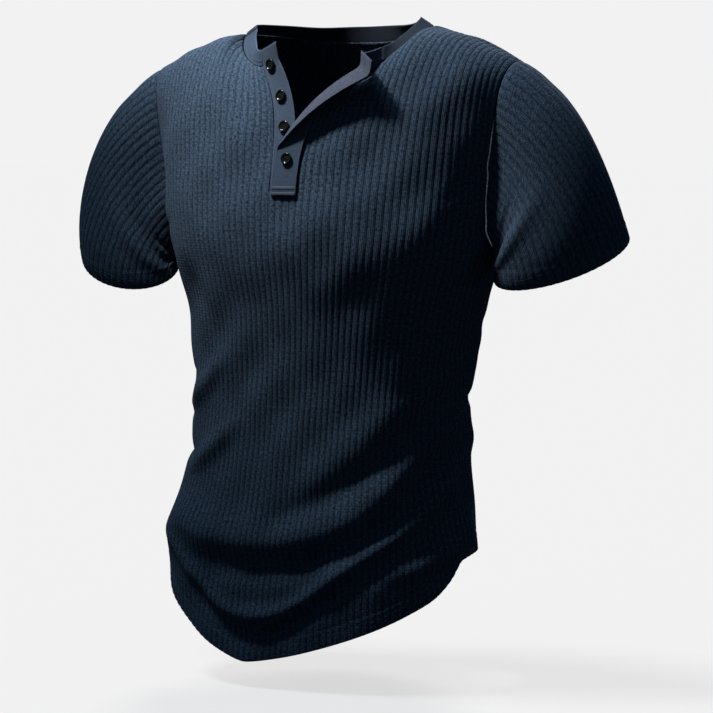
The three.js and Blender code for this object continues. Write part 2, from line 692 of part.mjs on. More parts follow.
/** Buttonhole band: flat over the opening at its foot, and turned back along its roll line above. */
function buttonholeBandGrid() {
  const { width, lift, lap, foot, steps, columns } = BUTTONHOLE_BAND;
  const edge = slitEdge(LEFT);
  const seam = spread([moved(edge[0], new THREE.Vector3(0, 0, -1), foot), ...edge], steps);
  const rollHeight = seam[steps].z - ROLL.start;
  return seam.map((point, i) => {
    const t = Math.max(0, (point.z - ROLL.start) / rollHeight);
    const turned = THREE.MathUtils.smoothstep(point.z - ROLL.start, 0, ROLL.fullWithin);
    const along = seam[Math.min(steps, i + 1)].clone().sub(seam[Math.max(0, i - 1)]).normalize();
    const across = unit([lerp(-1, -0.8, t), lerp(0, 0.1, t), lerp(0, 0.55, t)]);
    const facing = across.clone().cross(along).normalize();
    if (facing.y > 0) facing.negate();
    const flat = width * (1 - t) ** ROLL.narrowing + lap;
    const flap = vector(ROLL.flapLow).lerp(vector(ROLL.flapHigh), t).normalize();
    const angle = flap.angleTo(across) * turned;
    const rise = facing.clone().lerp(moved(flap, across, -flap.dot(across)).normalize(), turned).normalize();
    const start = moved(moved(point, facing, lift), across, -lap);
    return foldPlaces(flat, ROLL.radius * angle, width + 2 * lap, columns).map((place) => {
      const past = place - flat;
      if (past <= 0 || turned === 0) return moved(start, across, place);
      const bend = Math.min(past / ROLL.radius, angle);
      const rest = Math.max(0, past - ROLL.radius * angle);
      const over = flat + ROLL.radius * Math.sin(bend) + rest * Math.cos(angle);
      const up = ROLL.radius * (1 - Math.cos(bend)) + rest * Math.sin(angle);
      return moved(moved(start, across, over), rise, up);
    });
  });
}

/** Round button with a rim and a sunken middle, lying in XY with its back at z = 0. */
function buttonGeometry() {
  const { radius, height, dish, rim, sides } = BUTTON;
  const profile = [
    [0, 0],
    [radius - 1, 0],
    [radius, height * 0.45],
    [radius - rim / 2, height],
    [radius - rim, height - 0.2],
    [radius - rim - 0.8, height - dish],
    [0, height - dish],
  ].map(([x, y]) => new THREE.Vector2(x, y));
  const lathe = new THREE.LatheGeometry(profile, sides);
  lathe.rotateX(Math.PI / 2);
  return lathe;
}

const shirt = new THREE.Group();

/** Adds a named piece with its own material. */
function add(name, geometry, finish) {
  const mesh = new THREE.Mesh(geometry, new THREE.MeshStandardMaterial(finish));
  mesh.name = name;
  shirt.add(mesh);
  return mesh;
}

add('front', bodyPanel(false), CLOTH);
add('back', bodyPanel(true), CLOTH);
add('sleeve_left', sleeveWall(LEFT_SLEEVE), CLOTH);
add('sleeve_right', sleeveWall(RIGHT_SLEEVE), CLOTH);
add('neckband', neckband(), BAND_CLOTH);
const buttonBand = buttonBandGrid();
const buttonholeBand = buttonholeBandGrid();
add('button_band', closeStrip(buttonBand, BUTTON_BAND.wall), BAND_CLOTH);
add('buttonhole_band', closeStrip(buttonholeBand, BUTTONHOLE_BAND.wall), BAND_CLOTH);

/** Point in the middle of a band's grid at a height, with the way out of the band there. */
function bandPlace(grid, level) {
  const rows = grid.map((row) => spread(row, 4));
  const middle = 2;
  let r = 0;
  while (r < rows.length - 2 && rows[r + 1][middle].z < level) r += 1;
  const [low, high] = [rows[r][middle], rows[r + 1][middle]];
  const point = low.clone().lerp(high, (level - low.z) / (high.z - low.z));
  const across = rows[r][middle + 1].clone().sub(rows[r][middle - 1]);
  const out = across.cross(high.clone().sub(low)).normalize();
  if (out.y > 0) out.negate();
  return { point, out };
}

BUTTON_LEVELS.forEach((level, i) => {
  const fastened = i === BUTTON_LEVELS.length - 1;
  const { point, out } = bandPlace(fastened ? buttonholeBand : buttonBand, level);
  const button = add(`button_${i + 1}`, buttonGeometry(), BUTTON_PLASTIC);
  button.quaternion.setFromUnitVectors(new THREE.Vector3(0, 0, 1), out);
  button.position.copy(moved(point, out, BUTTON_BAND.wall / 2 + BUTTON.gap));
});

export default shirt;
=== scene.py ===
"""Short-sleeved henley shirt in rib knit, as it is on its wearer, with its placket open.

Sizes are in millimetres and become metres where a mesh is made. The front faces -Y, the wearer's
left is +X and +Z is up. Ribs are counted from the centre line of a panel; round the whole body they
run from -64 to 64, positive to the wearer's left, and 64 is the centre back.
"""
import logging
import math
from dataclasses import dataclass, field
from enum import Enum

import bpy
import mathutils
import numpy as np
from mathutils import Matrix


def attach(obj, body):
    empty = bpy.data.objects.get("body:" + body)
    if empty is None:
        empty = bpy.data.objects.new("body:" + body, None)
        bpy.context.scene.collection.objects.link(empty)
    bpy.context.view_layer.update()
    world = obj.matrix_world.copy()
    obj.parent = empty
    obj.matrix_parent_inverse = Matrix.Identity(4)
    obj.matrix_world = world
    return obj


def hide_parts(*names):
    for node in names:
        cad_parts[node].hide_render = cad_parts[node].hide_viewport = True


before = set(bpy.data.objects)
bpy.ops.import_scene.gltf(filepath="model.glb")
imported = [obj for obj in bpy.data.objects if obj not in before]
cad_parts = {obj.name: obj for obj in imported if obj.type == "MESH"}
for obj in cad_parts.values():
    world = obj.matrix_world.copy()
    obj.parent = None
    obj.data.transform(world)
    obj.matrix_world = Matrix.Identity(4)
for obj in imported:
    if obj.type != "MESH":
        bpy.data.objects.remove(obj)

log = logging.getLogger("henley")
logging.basicConfig(level=logging.INFO, format="%(message)s")

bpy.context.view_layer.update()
MM = 0.001
Grid = np.ndarray

# Knit and seams
RIB_PITCH = 8.0
RIB_HEIGHT = 0.52
GROOVE_DEPTH = 0.3
INNER_RIB_HEIGHT = 0.4
WALL = 1.8
SEAM_GAP = 0.3
RIB_PHASES = (0.0, 0.12, 0.32, 0.68, 0.88)
CREST_POWER = 0.65

# Cut of the body panels, counted in ribs from the centre line
HALF_RIBS = 32
ARMHOLE_RIB = 28
NECK_RIB = 12
PLACKET_RIB = 2

# Levels and roundness of the body
CHEST = -180.0
UNDERARM = -240.0
ROUNDNESS = 2.25
TYPICAL_HALF_WIDTH = 185.0
TYPICAL_DEPTH = 118.0
SHOULDER_CROWN = 5.0
CHEST_HANDLE = 0.42
TOP_HANDLE = 0.42


# Small helpers

def lerp(a: Grid, b: Grid, t: Grid) -> Grid:
    """Value at t between a and b."""
    return a + (b - a) * t


def unit(vectors: Grid) -> Grid:
    """Vectors of length one, along the last axis."""
    vectors = np.asarray(vectors, dtype=float)
    return vectors / np.linalg.norm(vectors, axis=-1, keepdims=True)


def smooth(value: Grid, low: float, high: float) -> Grid:
    """Soft step from 0 at low to 1 at high."""
    t = np.clip((value - low) / (high - low), 0.0, 1.0)
    return t * t * (3 - 2 * t)


def cubic(p0: Grid, p1: Grid, p2: Grid, p3: Grid, t: Grid) -> Grid:
    """Points at t on cubic curves.

    Args:
        p0, p1, p2, p3: control points, with x, y, z on the last axis.
        t: places on the curves, without that axis.

    Returns:
        The points, with x, y, z on the last axis.
    """
    t = np.asarray(t, dtype=float)[..., None]
    s = 1 - t
    return s ** 3 * p0 + 3 * s * s * t * p1 + 3 * s * t * t * p2 + t ** 3 * p3


def smooth_path(places: tuple, steps: int) -> Grid:
    """Points on a smooth curve through a few places.

    Args:
        places: places that the curve goes through, in order.
        steps: equal stretches between the points.

    Returns:
        The points, one more than there are steps.
    """
    points = np.array(places, dtype=float)
    padded = np.concatenate([[2 * points[0] - points[1]], points, [2 * points[-1] - points[-2]]])
    t = np.linspace(0, len(points) - 1, steps + 1)
    i = np.minimum(t.astype(int), len(points) - 2)
    s = (t - i)[:, None]
    a, b, c, d = (padded[i + k] for k in range(4))
    return 0.5 * (2 * b + (c - a) * s + (2 * a - 5 * b + 4 * c - d) * s ** 2
                  + (3 * b - a - 3 * c + d) * s ** 3)


def spread(points: Grid, shares: Grid) -> Grid:
    """Points at given shares of the length of a line of points."""
    steps = np.linalg.norm(np.diff(points, axis=0), axis=1)
    length = np.concatenate([[0.0], np.cumsum(steps)])
    goal = np.asarray(shares) * length[-1]
    return np.stack([np.interp(goal, length, points[:, k]) for k in range(3)], axis=-1)


def eased(points: Grid, reach: float) -> Grid:
    """Line of points with its corners rounded over a number of points, its ends kept.

    Args:
        points: the line, [point, xyz].
        reach: number of points over which a corner is rounded.

    Returns:
        As many points as before.
    """
    width = int(3 * reach)
    weights = np.exp(-0.5 * (np.arange(-width, width + 1) / reach) ** 2)
    weights /= weights.sum()
    low = 2 * points[0] - points[width:0:-1]
    high = 2 * points[-1] - points[-2:-width - 2:-1]
    padded = np.concatenate([low, points, high])
    return np.stack([np.convolve(padded[:, k], weights, mode="valid") for k in range(3)], axis=-1)


def rib_places(first: float, last: float) -> Grid:
    """Rib places from first to last, closer together beside each groove."""
    ribs = np.arange(math.floor(first), math.ceil(last) + 1)
    places = (ribs[:, None] + np.array(RIB_PHASES)).ravel()
    inside = places[(places > first + 0.01) & (places < last - 0.01)]
    return np.concatenate([[first], inside, [last]])


# Folds

FOLD_STEPS = 20


@dataclass(frozen=True)
class Fold:
    """Ridge or trough of the cloth along a smooth path, fading at its ends.

    A place is (rib counted round the body, height) on the body, and (turn, reach) on a sleeve.
    The width below the path may differ from the one above it, which makes that side steeper.
    """

    name: str
    path: tuple[tuple[float, float], ...]
    width: float
    rise: float
    below: float = 0.0

    def at(self, a: Grid, b: Grid, scale: tuple[float, float]) -> Grid:
        """Rise of the fold.

        Args:
            a, b: places on the cloth.
            scale: millimetres of cloth to one unit of a and of b.

        Returns:
            The rise at each place, in millimetres.
        """
        path = smooth_path(self.path, FOLD_STEPS) * np.array(scale)
        best = np.zeros(np.broadcast(a, b).shape)
        for i, (p, q) in enumerate(zip(path[:-1], path[1:])):
            d = q - p
            along_a = a * scale[0] - p[0]
            along_b = b * scale[1] - p[1]
            t = np.clip((along_a * d[0] + along_b * d[1]) / (d @ d), 0, 1)
            off_a = along_a - d[0] * t
            off_b = along_b - d[1] * t
            width = np.where(off_b < 0, self.below or self.width, self.width)
            fade = np.sqrt(np.maximum(0, np.sin(np.pi * (i + t) / FOLD_STEPS)))
            best = np.maximum(best, fade * np.exp(-(off_a ** 2 + off_b ** 2) / width ** 2))
        return best * self.rise


BODY_FOLDS = (
    Fold("chest drape", ((42, -300), (21, -405), (2, -500)), 24, 4),
    Fold("upper swag", ((38, -345), (25.6, -401), (16.8, -467), (6.7, -510), (-2, -538)), 14, -5),
    Fold("middle swag bulge",
         ((34, -425), (25, -447), (12, -530), (-1, -556), (-13, -550), (-22, -535)), 27, 6, 12),
    Fold("middle swag",
         ((38, -440), (26, -466), (17.8, -530), (7.2, -572), (-3.2, -588), (-17, -576)), 12, -7),
    Fold("swag crest",
         ((31, -480), (21.9, -533), (12.2, -580), (2.4, -630), (-7, -634), (-14.6, -597), (-25, -545)),
         10, 6, 8),
    Fold("lower swag",
         ((34, -498), (23.7, -541), (11.2, -601), (-1, -660), (-9.3, -640), (-15, -606)), 11, -5),
    Fold("left hip ridge", ((36, -530), (26.2, -568), (15, -606)), 12, 4.5),
    Fold("left hip pocket", ((38, -570), (27.2, -588), (17, -600)), 10, -5),
    Fold("right hip fullness", ((-38, -535), (-24, -548), (-10, -560)), 34, 10),
    Fold("right waist ridge", ((-12, -360), (-17.6, -393), (-24, -418)), 12, 5),
    Fold("right lower ridge", ((-9, -430), (-15.2, -464), (-21, -488)), 12, 5),
    Fold("right waist crinkle", ((-22, -380), (-29, -389), (-38, -384)), 8, -5),
    Fold("right middle crinkle", ((-22, -428), (-29, -412), (-38, -402)), 8, -5),
    Fold("right lower crinkle", ((-20, -474), (-28, -462), (-39, -453)), 9, -6),
    Fold("left waist crinkle", ((40, -318), (29, -350), (19, -398)), 9, -4),
    Fold("left side crinkle", ((42, -392), (33, -408), (26, -436)), 8, -5),
    Fold("armpit crease", ((29, -148), (24.8, -165), (21.6, -190)), 7, -3),
    Fold("low armpit crease", ((33, -232), (26, -216), (22, -206)), 7, -3),
    Fold("right armpit crease", ((-32, -236), (-27, -222), (-22, -216)), 7, -2.5),
    Fold("back waist trough", ((48, -330), (58, -350), (70, -346), (79, -334)), 16, -6),
    Fold("back waist ridge", ((50, -372), (62, -388), (76, -374)), 14, 4),
    Fold("back upper swag", ((36, -385), (48, -455), (62, -486), (82, -450)), 17, -9),
    Fold("back crest", ((38, -440), (50, -520), (66, -548), (86, -500)), 15, 8, 11),
    Fold("back lower swag", ((40, -500), (52, -575), (66, -598), (84, -535)), 14, -8),
    Fold("back left crinkle", ((36, -412), (42, -424), (47, -446)), 8, -4),
    Fold("back right crinkle", ((92, -398), (85, -414), (80, -438)), 8, -4),
    Fold("back left shoulder crease", ((37, -140), (42, -166), (45, -205)), 10, -3),
    Fold("back right shoulder crease", ((91, -136), (86, -170), (84, -212)), 10, -3),
)

# Low waves of the cloth on its wearer: count, rise of each, least and most waves round the body, longest wave in z
WAVES = (12, 0.28, 5, 20, 170.0)
WAVE_SLANT = 2.5
WAVE_SEED = 7

# Steps used to find the way the cloth runs: down from the chest line, across in ribs, along in shares
CHEST_STEP = 3.0
RIB_STEP = 0.05
REACH_STEP = 0.01


# Form of the body

class Facing(Enum):
    """Panel of the body: the way it faces along Y."""

    FRONT = -1
    BACK = 1

    @property
    def is_back(self) -> bool:
        """True for the back panel."""
        return self is Facing.BACK


@dataclass(frozen=True)
class Corners:
    """Neck point, shoulder point and open neckline corner of one side."""

    side: int
    neck: tuple[float, float, float]
    shoulder: tuple[float, float, float]
    corner: tuple[float, float, float]
    corner_heading: tuple[float, float, float]
    neck_pull: tuple[float, float, float]
    back_neck_pull: tuple[float, float, float]
    corner_pull: tuple[float, float, float]


LEFT = Corners(1, (114, 4, -4), (214, 8, -42), (79, -88, -51), (0.85, 0.2, 0.48),
               (-3, -34, -20), (-9, 34, -2), (14, 14, 1))
RIGHT = Corners(-1, (-117, 4, -8), (-222, 6, -44), (-50, -80, -46), (-0.5, 0.25, 0.83),
                (8, -42, -22), (9, 34, 2), (-12, 4, -5))

# Columns: height, centre x, centre y, half width, depth to the front, depth to the back
BODY_SECTIONS = np.array((
    (-700, -19, 0, 182, 124, 112),
    (-590, -17, 0, 178, 124, 110),
    (-520, -13, 0, 168, 120, 106),
    (-450, -9, 0, 160, 115, 100),
    (-380, -5, 0, 162, 114, 98),
    (-310, -2, 0, 170, 118, 104),
    (-240, -2, 0, 192, 126, 112),
    (-180, -4, 2, 201, 121, 116),
    (-120, -4, 4, 200, 106, 112),
), dtype=float)


@dataclass(frozen=True)
class BodyForm:
    """Draped form that both panels, the sleeves and the bands take their points from."""

    folds: tuple[Fold, ...] = BODY_FOLDS
    hem_lowest: float = -687.0
    hem_rib: float = -4.0
    hem_left_climb: float = 80.0
    hem_left_power: float = 1.4
    hem_right_climb: float = 165.0
    hem_right_power: float = 1.5
    hem_corner_lift: float = 12.0
    hem_corner_power: float = 7.0
    back_tail: float = 78.0
    back_neck_y: float = 74.0
    back_neck_z: float = -17.0
    back_neck_spread: float = 48.0

    def section(self, column: int, z: Grid) -> Grid:
        """Value of one column of the body sections at height z, on a smooth curve.

        Args:
            column: column of the table of body sections.
            z: heights.

        Returns:
            One value for each height.
        """
        heights = BODY_SECTIONS[:, 0]
        values = BODY_SECTIONS[:, column]
        slopes = np.empty_like(values)
        slopes[1:-1] = (values[2:] - values[:-2]) / (heights[2:] - heights[:-2])
        slopes[0] = (values[1] - values[0]) / (heights[1] - heights[0])
        slopes[-1] = (values[-1] - values[-2]) / (heights[-1] - heights[-2])
        i = np.clip(np.searchsorted(heights, z) - 1, 0, len(heights) - 2)
        span = heights[i + 1] - heights[i]
        t = np.clip((z - heights[i]) / span, 0, 1)
        t2 = t * t
        t3 = t2 * t
        return ((2 * t3 - 3 * t2 + 1) * values[i] + (t3 - 2 * t2 + t) * span * slopes[i]
                + (3 * t2 - 2 * t3) * values[i + 1] + (t3 - t2) * span * slopes[i + 1])

    @staticmethod
    def offset(angle: Grid, half_width: Grid, depth: Grid) -> tuple[Grid, Grid]:
        """Across and along parts of the rounded section at an angle from the centre line."""
        power = 2 / ROUNDNESS
        return (half_width * np.maximum(0, np.sin(angle)) ** power,
                depth * np.maximum(0, np.cos(angle)) ** power)

    def angle_at(self, share: Grid) -> Grid:
        """Angle at which a share of the arc from the centre line to the side seam is used up."""
        angles = np.linspace(0, np.pi / 2, 161)
        across, along = self.offset(angles, TYPICAL_HALF_WIDTH, TYPICAL_DEPTH)
        length = np.concatenate([[0], np.cumsum(np.hypot(np.diff(across), np.diff(along)))])
        return np.interp(share * length[-1], length, angles)

    def below_chest(self, rib: Grid, z: Grid, facing: Facing) -> tuple[Grid, Grid]:
        """Smooth point of the body below the armholes, and the way out of the cloth there.

        Args:
            rib: rib places from the centre line.
            z: heights.
            facing: panel.

        Returns:
            Points and unit ways out, with x, y, z on the last axis.
        """
        rib, z = np.broadcast_arrays(rib, z)
        side = np.where(rib < 0, -1.0, 1.0)
        half_width = self.section(3, z)
        depth = self.section(5 if facing.is_back else 4, z)
        across, along = self.offset(self.angle_at(np.abs(rib) / HALF_RIBS), half_width, depth)
        point = np.stack([self.section(1, z) + side * across,
                          self.section(2, z) + facing.value * along, z], axis=-1)
        power = ROUNDNESS - 1
        out = np.stack([side * (across / half_width) ** power / half_width,
                        facing.value * (along / depth) ** power / depth,
                        np.zeros(z.shape)], axis=-1)
        return point, unit(out)

    def hem(self, rib: Grid, facing: Facing) -> Grid:
        """Height of the hem on a rib.

        Args:
            rib: rib places from the centre line.
            facing: panel.

        Returns:
            Heights of the front's curved tail, or of the back's tail between the side seams.
        """
        def front(r: Grid) -> Grid:
            """Height of the front hem at a rib."""
            share = (r - self.hem_rib) / HALF_RIBS
            left = (self.hem_left_climb * np.maximum(share, 0) ** self.hem_left_power
                    + self.hem_corner_lift * np.maximum(share, 0) ** self.hem_corner_power)
            right = self.hem_right_climb * np.maximum(-share, 0) ** self.hem_right_power
            return self.hem_lowest + left + right
        if not facing.is_back:
            return front(rib)
        ends = front(np.array([-HALF_RIBS, HALF_RIBS]))
        seam = lerp(ends[0], ends[1], (rib / HALF_RIBS + 1) / 2)
        return seam - self.back_tail * (1 + np.cos(np.pi * rib / HALF_RIBS)) / 2

    @staticmethod
    def armhole(rib: Grid) -> Grid:
        """Height at which a rib outside the armhole ends, on a quarter oval to the underarm."""
        q = np.clip((HALF_RIBS - np.abs(rib)) / (HALF_RIBS - ARMHOLE_RIB), 0, 1)
        return np.where(np.abs(rib) > ARMHOLE_RIB,
                        lerp(CHEST, UNDERARM, np.sqrt(1 - q * q)), CHEST)

    def _edge_of(self, corners: Corners, count: Grid, facing: Facing) -> tuple[Grid, Grid]:
        """Top edge of one side at ribs counted from the centre line.

        Args:
            corners: corners of that side.
            count: ribs from the centre line, not negative.
            facing: panel.

        Returns:
            Points of the shoulder seam or neckline, and which way the cloth runs there.
        """
        neck = np.array(corners.neck, dtype=float)
        share = (count - NECK_RIB) / (ARMHOLE_RIB - NECK_RIB)
        t = np.clip(share, 0, 1)
        seam = lerp(neck, np.array(corners.shoulder, dtype=float), t[..., None])
        seam[..., 2] += SHOULDER_CROWN * np.sin(np.pi * t)
        seam_heading = np.broadcast_to([0.0, -facing.value, 0.0], seam.shape)
        if facing.is_back:
            t = np.clip(count / NECK_RIB, 0, 1)
            middle = np.array([0, self.back_neck_y, self.back_neck_z])
            start = np.array([corners.side * self.back_neck_spread, self.back_neck_y, self.back_neck_z])
            edge = cubic(middle, start, neck + corners.back_neck_pull, neck, t)
            heading = np.stack([0 * t, -0.55 - 0.45 * t, 0.83 * (1 - t)], axis=-1)
        else:
            t = np.clip((count - PLACKET_RIB) / (NECK_RIB - PLACKET_RIB), 0, 1)
            corner = np.array(corners.corner, dtype=float)
            edge = cubic(corner, corner + corners.corner_pull, neck + corners.neck_pull, neck, t)
            heading = lerp(np.array(corners.corner_heading), np.array([0.0, 1.0, 0.0]), t[..., None])
        on_seam = (share >= 0)[..., None]
        return np.where(on_seam, seam, edge), np.where(on_seam, seam_heading, unit(heading))

    def top_edge(self, rib: Grid, facing: Facing) -> tuple[Grid, Grid]:
        """Where ribs end at the shoulder seam or the neckline, and which way the cloth runs."""
        count = np.abs(rib)
        left, left_heading = self._edge_of(LEFT, count, facing)
        right, right_heading = self._edge_of(RIGHT, count, facing)
        is_right = (rib < 0)[..., None]
        return np.where(is_right, right, left), np.where(is_right, right_heading, left_heading)

    def above_chest(self, rib: Grid, reach: Grid, facing: Facing) -> Grid:
        """Smooth point above the chest line: reach 0 is the chest line and 1 the top edge.

        Args:
            rib: rib places from the centre line.
            reach: shares of the way up the rib.
            facing: panel.

        Returns:
            Points before any fold.
        """
        rib, reach = np.broadcast_arrays(np.asarray(rib, float), np.asarray(reach, float))
        low = self.below_chest(rib, CHEST, facing)[0]
        lower = self.below_chest(rib, CHEST - CHEST_STEP, facing)[0]
        top, heading = self.top_edge(rib, facing)
        span = np.linalg.norm(top - low, axis=-1, keepdims=True)
        return cubic(low, low + unit(low - lower) * span * CHEST_HANDLE,
                     top - heading * span * TOP_HANDLE, top, reach)

    def above_out(self, rib: Grid, reach: Grid, facing: Facing) -> Grid:
        """Way out of the cloth above the chest line.

        Args:
            rib: rib places from the centre line.
            reach: shares of the way up the rib.
            facing: panel.

        Returns:
            Unit vectors.
        """
        rib, reach = np.broadcast_arrays(np.asarray(rib, float), np.asarray(reach, float))
        side = np.where(rib < 0, -1.0, 1.0)
        inner = rib - RIB_STEP
        outer = rib + RIB_STEP
        if not facing.is_back:
            inner = side * np.maximum(np.abs(inner), PLACKET_RIB)
            outer = side * np.maximum(np.abs(outer), PLACKET_RIB)
            still = np.abs(outer - inner) < 0.02
            outer = np.where(still, rib + side * RIB_STEP, outer)
            inner = np.where(still, rib, inner)
            swap = outer < inner
            inner, outer = np.where(swap, outer, inner), np.where(swap, inner, outer)
        across = self.above_chest(outer, reach, facing) - self.above_chest(inner, reach, facing)
        upper = self.above_chest(rib, np.minimum(1, reach + REACH_STEP), facing)
        along = upper - self.above_chest(rib, np.maximum(0, reach - REACH_STEP), facing)
        return unit(np.cross(across, along)) * -facing.value

    def fold_rise(self, rib: Grid, z: Grid, facing: Facing) -> Grid:
        """Rise of all the folds at a rib of a panel and a height.

        Args:
            rib: rib places from the centre line of the panel.
            z: heights.
            facing: panel.

        Returns:
            Millimetres along the way out of the cloth.
        """
        if facing.is_back:
            rib = np.where(rib >= 0, 2 * HALF_RIBS - rib, -2 * HALF_RIBS - rib)
        turn = 4 * HALF_RIBS
        rise = np.zeros(rib.shape)
        for fold in self.folds:
            middle = fold.path[len(fold.path) // 2][0]
            place = rib + np.where(rib < middle - turn / 2, turn, 0)
            place = place - np.where(rib > middle + turn / 2, turn, 0)
            rise += fold.at(place, z, (RIB_PITCH, 1.0))
        return rise + self.waves(rib, z)

    @staticmethod
    def waves(rib: Grid, z: Grid) -> Grid:
        """Low uneven waves that close on themselves round the body.

        Args:
            rib: rib places round the whole body.
            z: heights.

        Returns:
            Millimetres along the way out of the cloth.
        """
        count, height, least, most, longest = WAVES
        draw = np.random.default_rng(WAVE_SEED)
        rise = np.zeros(np.broadcast(rib, z).shape)
        for _ in range(count):
            around = draw.integers(least, most)
            down = draw.uniform(-1, 1) * WAVE_SLANT / longest
            start = draw.uniform(0, 2 * np.pi)
            rise += height * np.sin(2 * np.pi * (around * rib / (4 * HALF_RIBS) + down * z) + start)
        return rise

    def lower(self, rib: Grid, share: Grid, facing: Facing) -> tuple[Grid, Grid]:
        """Draped point between the hem, share 0, and the armhole or chest line, share 1."""
        rib, share = np.broadcast_arrays(np.asarray(rib, float), np.asarray(share, float))
        z = lerp(self.hem(rib, facing), self.armhole(rib), share)
        point, out = self.below_chest(rib, z, facing)
        return point + out * self.fold_rise(rib, z, facing)[..., None], out

    def upper(self, rib: Grid, reach: Grid, facing: Facing) -> tuple[Grid, Grid]:
        """Draped point between the chest line, reach 0, and the top edge, reach 1."""
        rib, reach = np.broadcast_arrays(np.asarray(rib, float), np.asarray(reach, float))
        point = self.above_chest(rib, reach, facing)
        out = self.above_out(rib, reach, facing)
        return point + out * self.fold_rise(rib, point[..., 2], facing)[..., None], out


# Walls of cloth

@dataclass
class Wall:
    """Closed wall of cloth between an outer and an inner grid of points.

    Attributes:
        outer, inner: points in millimetres, [row, column, xyz].
        present: where there is cloth, [row, column] of the cells between the points.
        out: way out of the cloth at each point, for the relief of the ribs.
        rib, fade: rib place of each point, and how far the ribs are raised there, 0 to 1. The knit is
        also drawn lighter where the fade is low; on plain cloth the fade is 0 at its edges, where
        that lightening is a painted highlight.
        run: millimetres of cloth along the rib, for the weave.
        wrapped: true where the columns close on themselves.
        ribbed: true for rib knit.
    """

    outer: Grid
    inner: Grid
    present: Grid
    out: Grid
    rib: Grid
    fade: Grid
    run: Grid
    wrapped: bool = False
    ribbed: bool = True

    def mesh(self, name: str) -> bpy.types.Mesh:
        """Mesh of the wall with the attributes that the ribs and the knit read.

        Args:
            name: name of the mesh.

        Returns:
            The mesh in metres, smooth shaded, with its UV map of the weave.
        """
        rows, columns = self.outer.shape[:2]
        cells = self.present.shape[1]
        left = np.arange(cells)
        right = (left + 1) % columns
        index = np.arange(rows * columns).reshape(rows, columns)
        deep = index + rows * columns

        def corners(grid: Grid) -> tuple[Grid, Grid, Grid, Grid]:
            """The four corners of every cell of a grid, in turn."""
            low, high = grid[:-1], grid[1:]
            return low[:, left], low[:, right], high[:, right], high[:, left]

        a, b, c, d = corners(index)
        e, f, g, h = corners(deep)
        cloth = self.present
        padded = np.pad(cloth, 1)
        if self.wrapped:
            padded[1:-1, 0] = cloth[:, -1]
            padded[1:-1, -1] = cloth[:, 0]
        open_low = cloth & ~padded[:-2, 1:-1]
        open_high = cloth & ~padded[2:, 1:-1]
        open_left = cloth & ~padded[1:-1, :-2]
        open_right = cloth & ~padded[1:-1, 2:]
        groups = [
            (cloth, (a, b, c, d)), (cloth, (h, g, f, e)),
            (open_low, (b, a, e, f)), (open_high, (d, c, g, h)),
            (open_left, (a, d, h, e)), (open_right, (c, b, f, g)),
        ]
        quads = np.concatenate([np.stack([k[mask] for k in four], axis=-1) for mask, four in groups])
        points = np.concatenate([self.outer.reshape(-1, 3), self.inner.reshape(-1, 3)])
        one_side = [np.broadcast_to(v, (rows, columns)).ravel() for v in (self.rib, self.run, self.fade)]
        outs = self.out.reshape(-1, 3)
        facing = np.concatenate([np.ones(rows * columns), np.zeros(rows * columns)])
        used, packed = np.unique(quads, return_inverse=True)
        quads = packed.reshape(-1, 4)
        points = points[used]
        rib, run, fade = (np.concatenate([v, v])[used] for v in one_side)
        outs = np.concatenate([outs, outs])[used]
        facing = facing[used]
        p = points[quads]
        volume = np.einsum("ij,ij->i", p[:, 0], np.cross(p[:, 1], p[:, 2]) + np.cross(p[:, 2], p[:, 3]))
        if volume.sum() < 0:
            quads = quads[:, ::-1]
        mesh = bpy.data.meshes.new(name)
        mesh.from_pydata((points * MM).tolist(), [], quads.tolist())
        for label, values in (("rib", rib), ("fade", fade), ("outside", facing)):
            mesh.attributes.new(label, "FLOAT", "POINT").data.foreach_set("value", values)
        mesh.attributes.new("out", "FLOAT_VECTOR", "POINT").data.foreach_set("vector", outs.ravel())
        weave = mesh.uv_layers.new(name="Knit")
        loops = np.empty(len(mesh.loops), dtype=int)
        mesh.loops.foreach_get("vertex_index", loops)
        uv = np.stack([rib, run / RIB_PITCH], axis=-1)
        if self.wrapped:
            uv = self._unwrapped(uv, loops, rib)
        else:
            uv = uv[loops]
        weave.data.foreach_set("uv", uv.ravel())
        mesh.polygons.foreach_set("use_smooth", np.ones(len(mesh.polygons), dtype=bool))
        mesh.update()
        return mesh

    def relief(self, row: int) -> Grid:
        """Rise of the ribs along a row of the outer side."""
        if not self.ribbed:
            return 0 * self.rib[row]
        crest = np.abs(np.sin(np.pi * self.rib[row])) ** CREST_POWER
        return (crest * (RIB_HEIGHT + GROOVE_DEPTH) - GROOVE_DEPTH) * self.fade[row]

    def row_line(self, row: int, above: float = 0.1) -> "SeamLine":
        """Line along a row of the outer side, a little above the cloth."""
        out = self.out[row]
        points = self.outer[row] + out * (self.relief(row) + above)[:, None]
        if self.wrapped:
            points = np.concatenate([points, points[:1]])
            out = np.concatenate([out, out[:1]])
        return SeamLine(points, out)

    def column_line(self, column: int, turned: bool = False, above: float = 0.1) -> "SeamLine":
        """Line along a column of a plain wall, on its outer or its other side."""
        out = self.out[:, column] * (-1 if turned else 1)
        side = self.inner if turned else self.outer
        return SeamLine(side[:, column] + out * above, out)

    @staticmethod
    def _unwrapped(uv: Grid, loops: Grid, rib: Grid) -> Grid:
        """Loop coordinates in which the last cell of a wrapped wall doesn't run backwards."""
        each = uv[loops].reshape(-1, 4, 2)
        turn = np.ceil(rib.max())
        jump = each[..., 0].max(axis=1) - each[..., 0].min(axis=1) > turn / 2
        back = jump[:, None] & (each[..., 0] < turn / 2)
        each[..., 0] += np.where(back, turn, 0)
        return each.reshape(-1, 2)


def edge_roundness(distance: Grid, radius: float) -> Grid:
    """Share of its full thickness that a rounded edge has at a distance from the edge."""
    t = np.clip(distance / radius, 0, 1)
    return 0.35 + 0.65 * np.sqrt(1 - (1 - t) ** 2)


# Geometry nodes

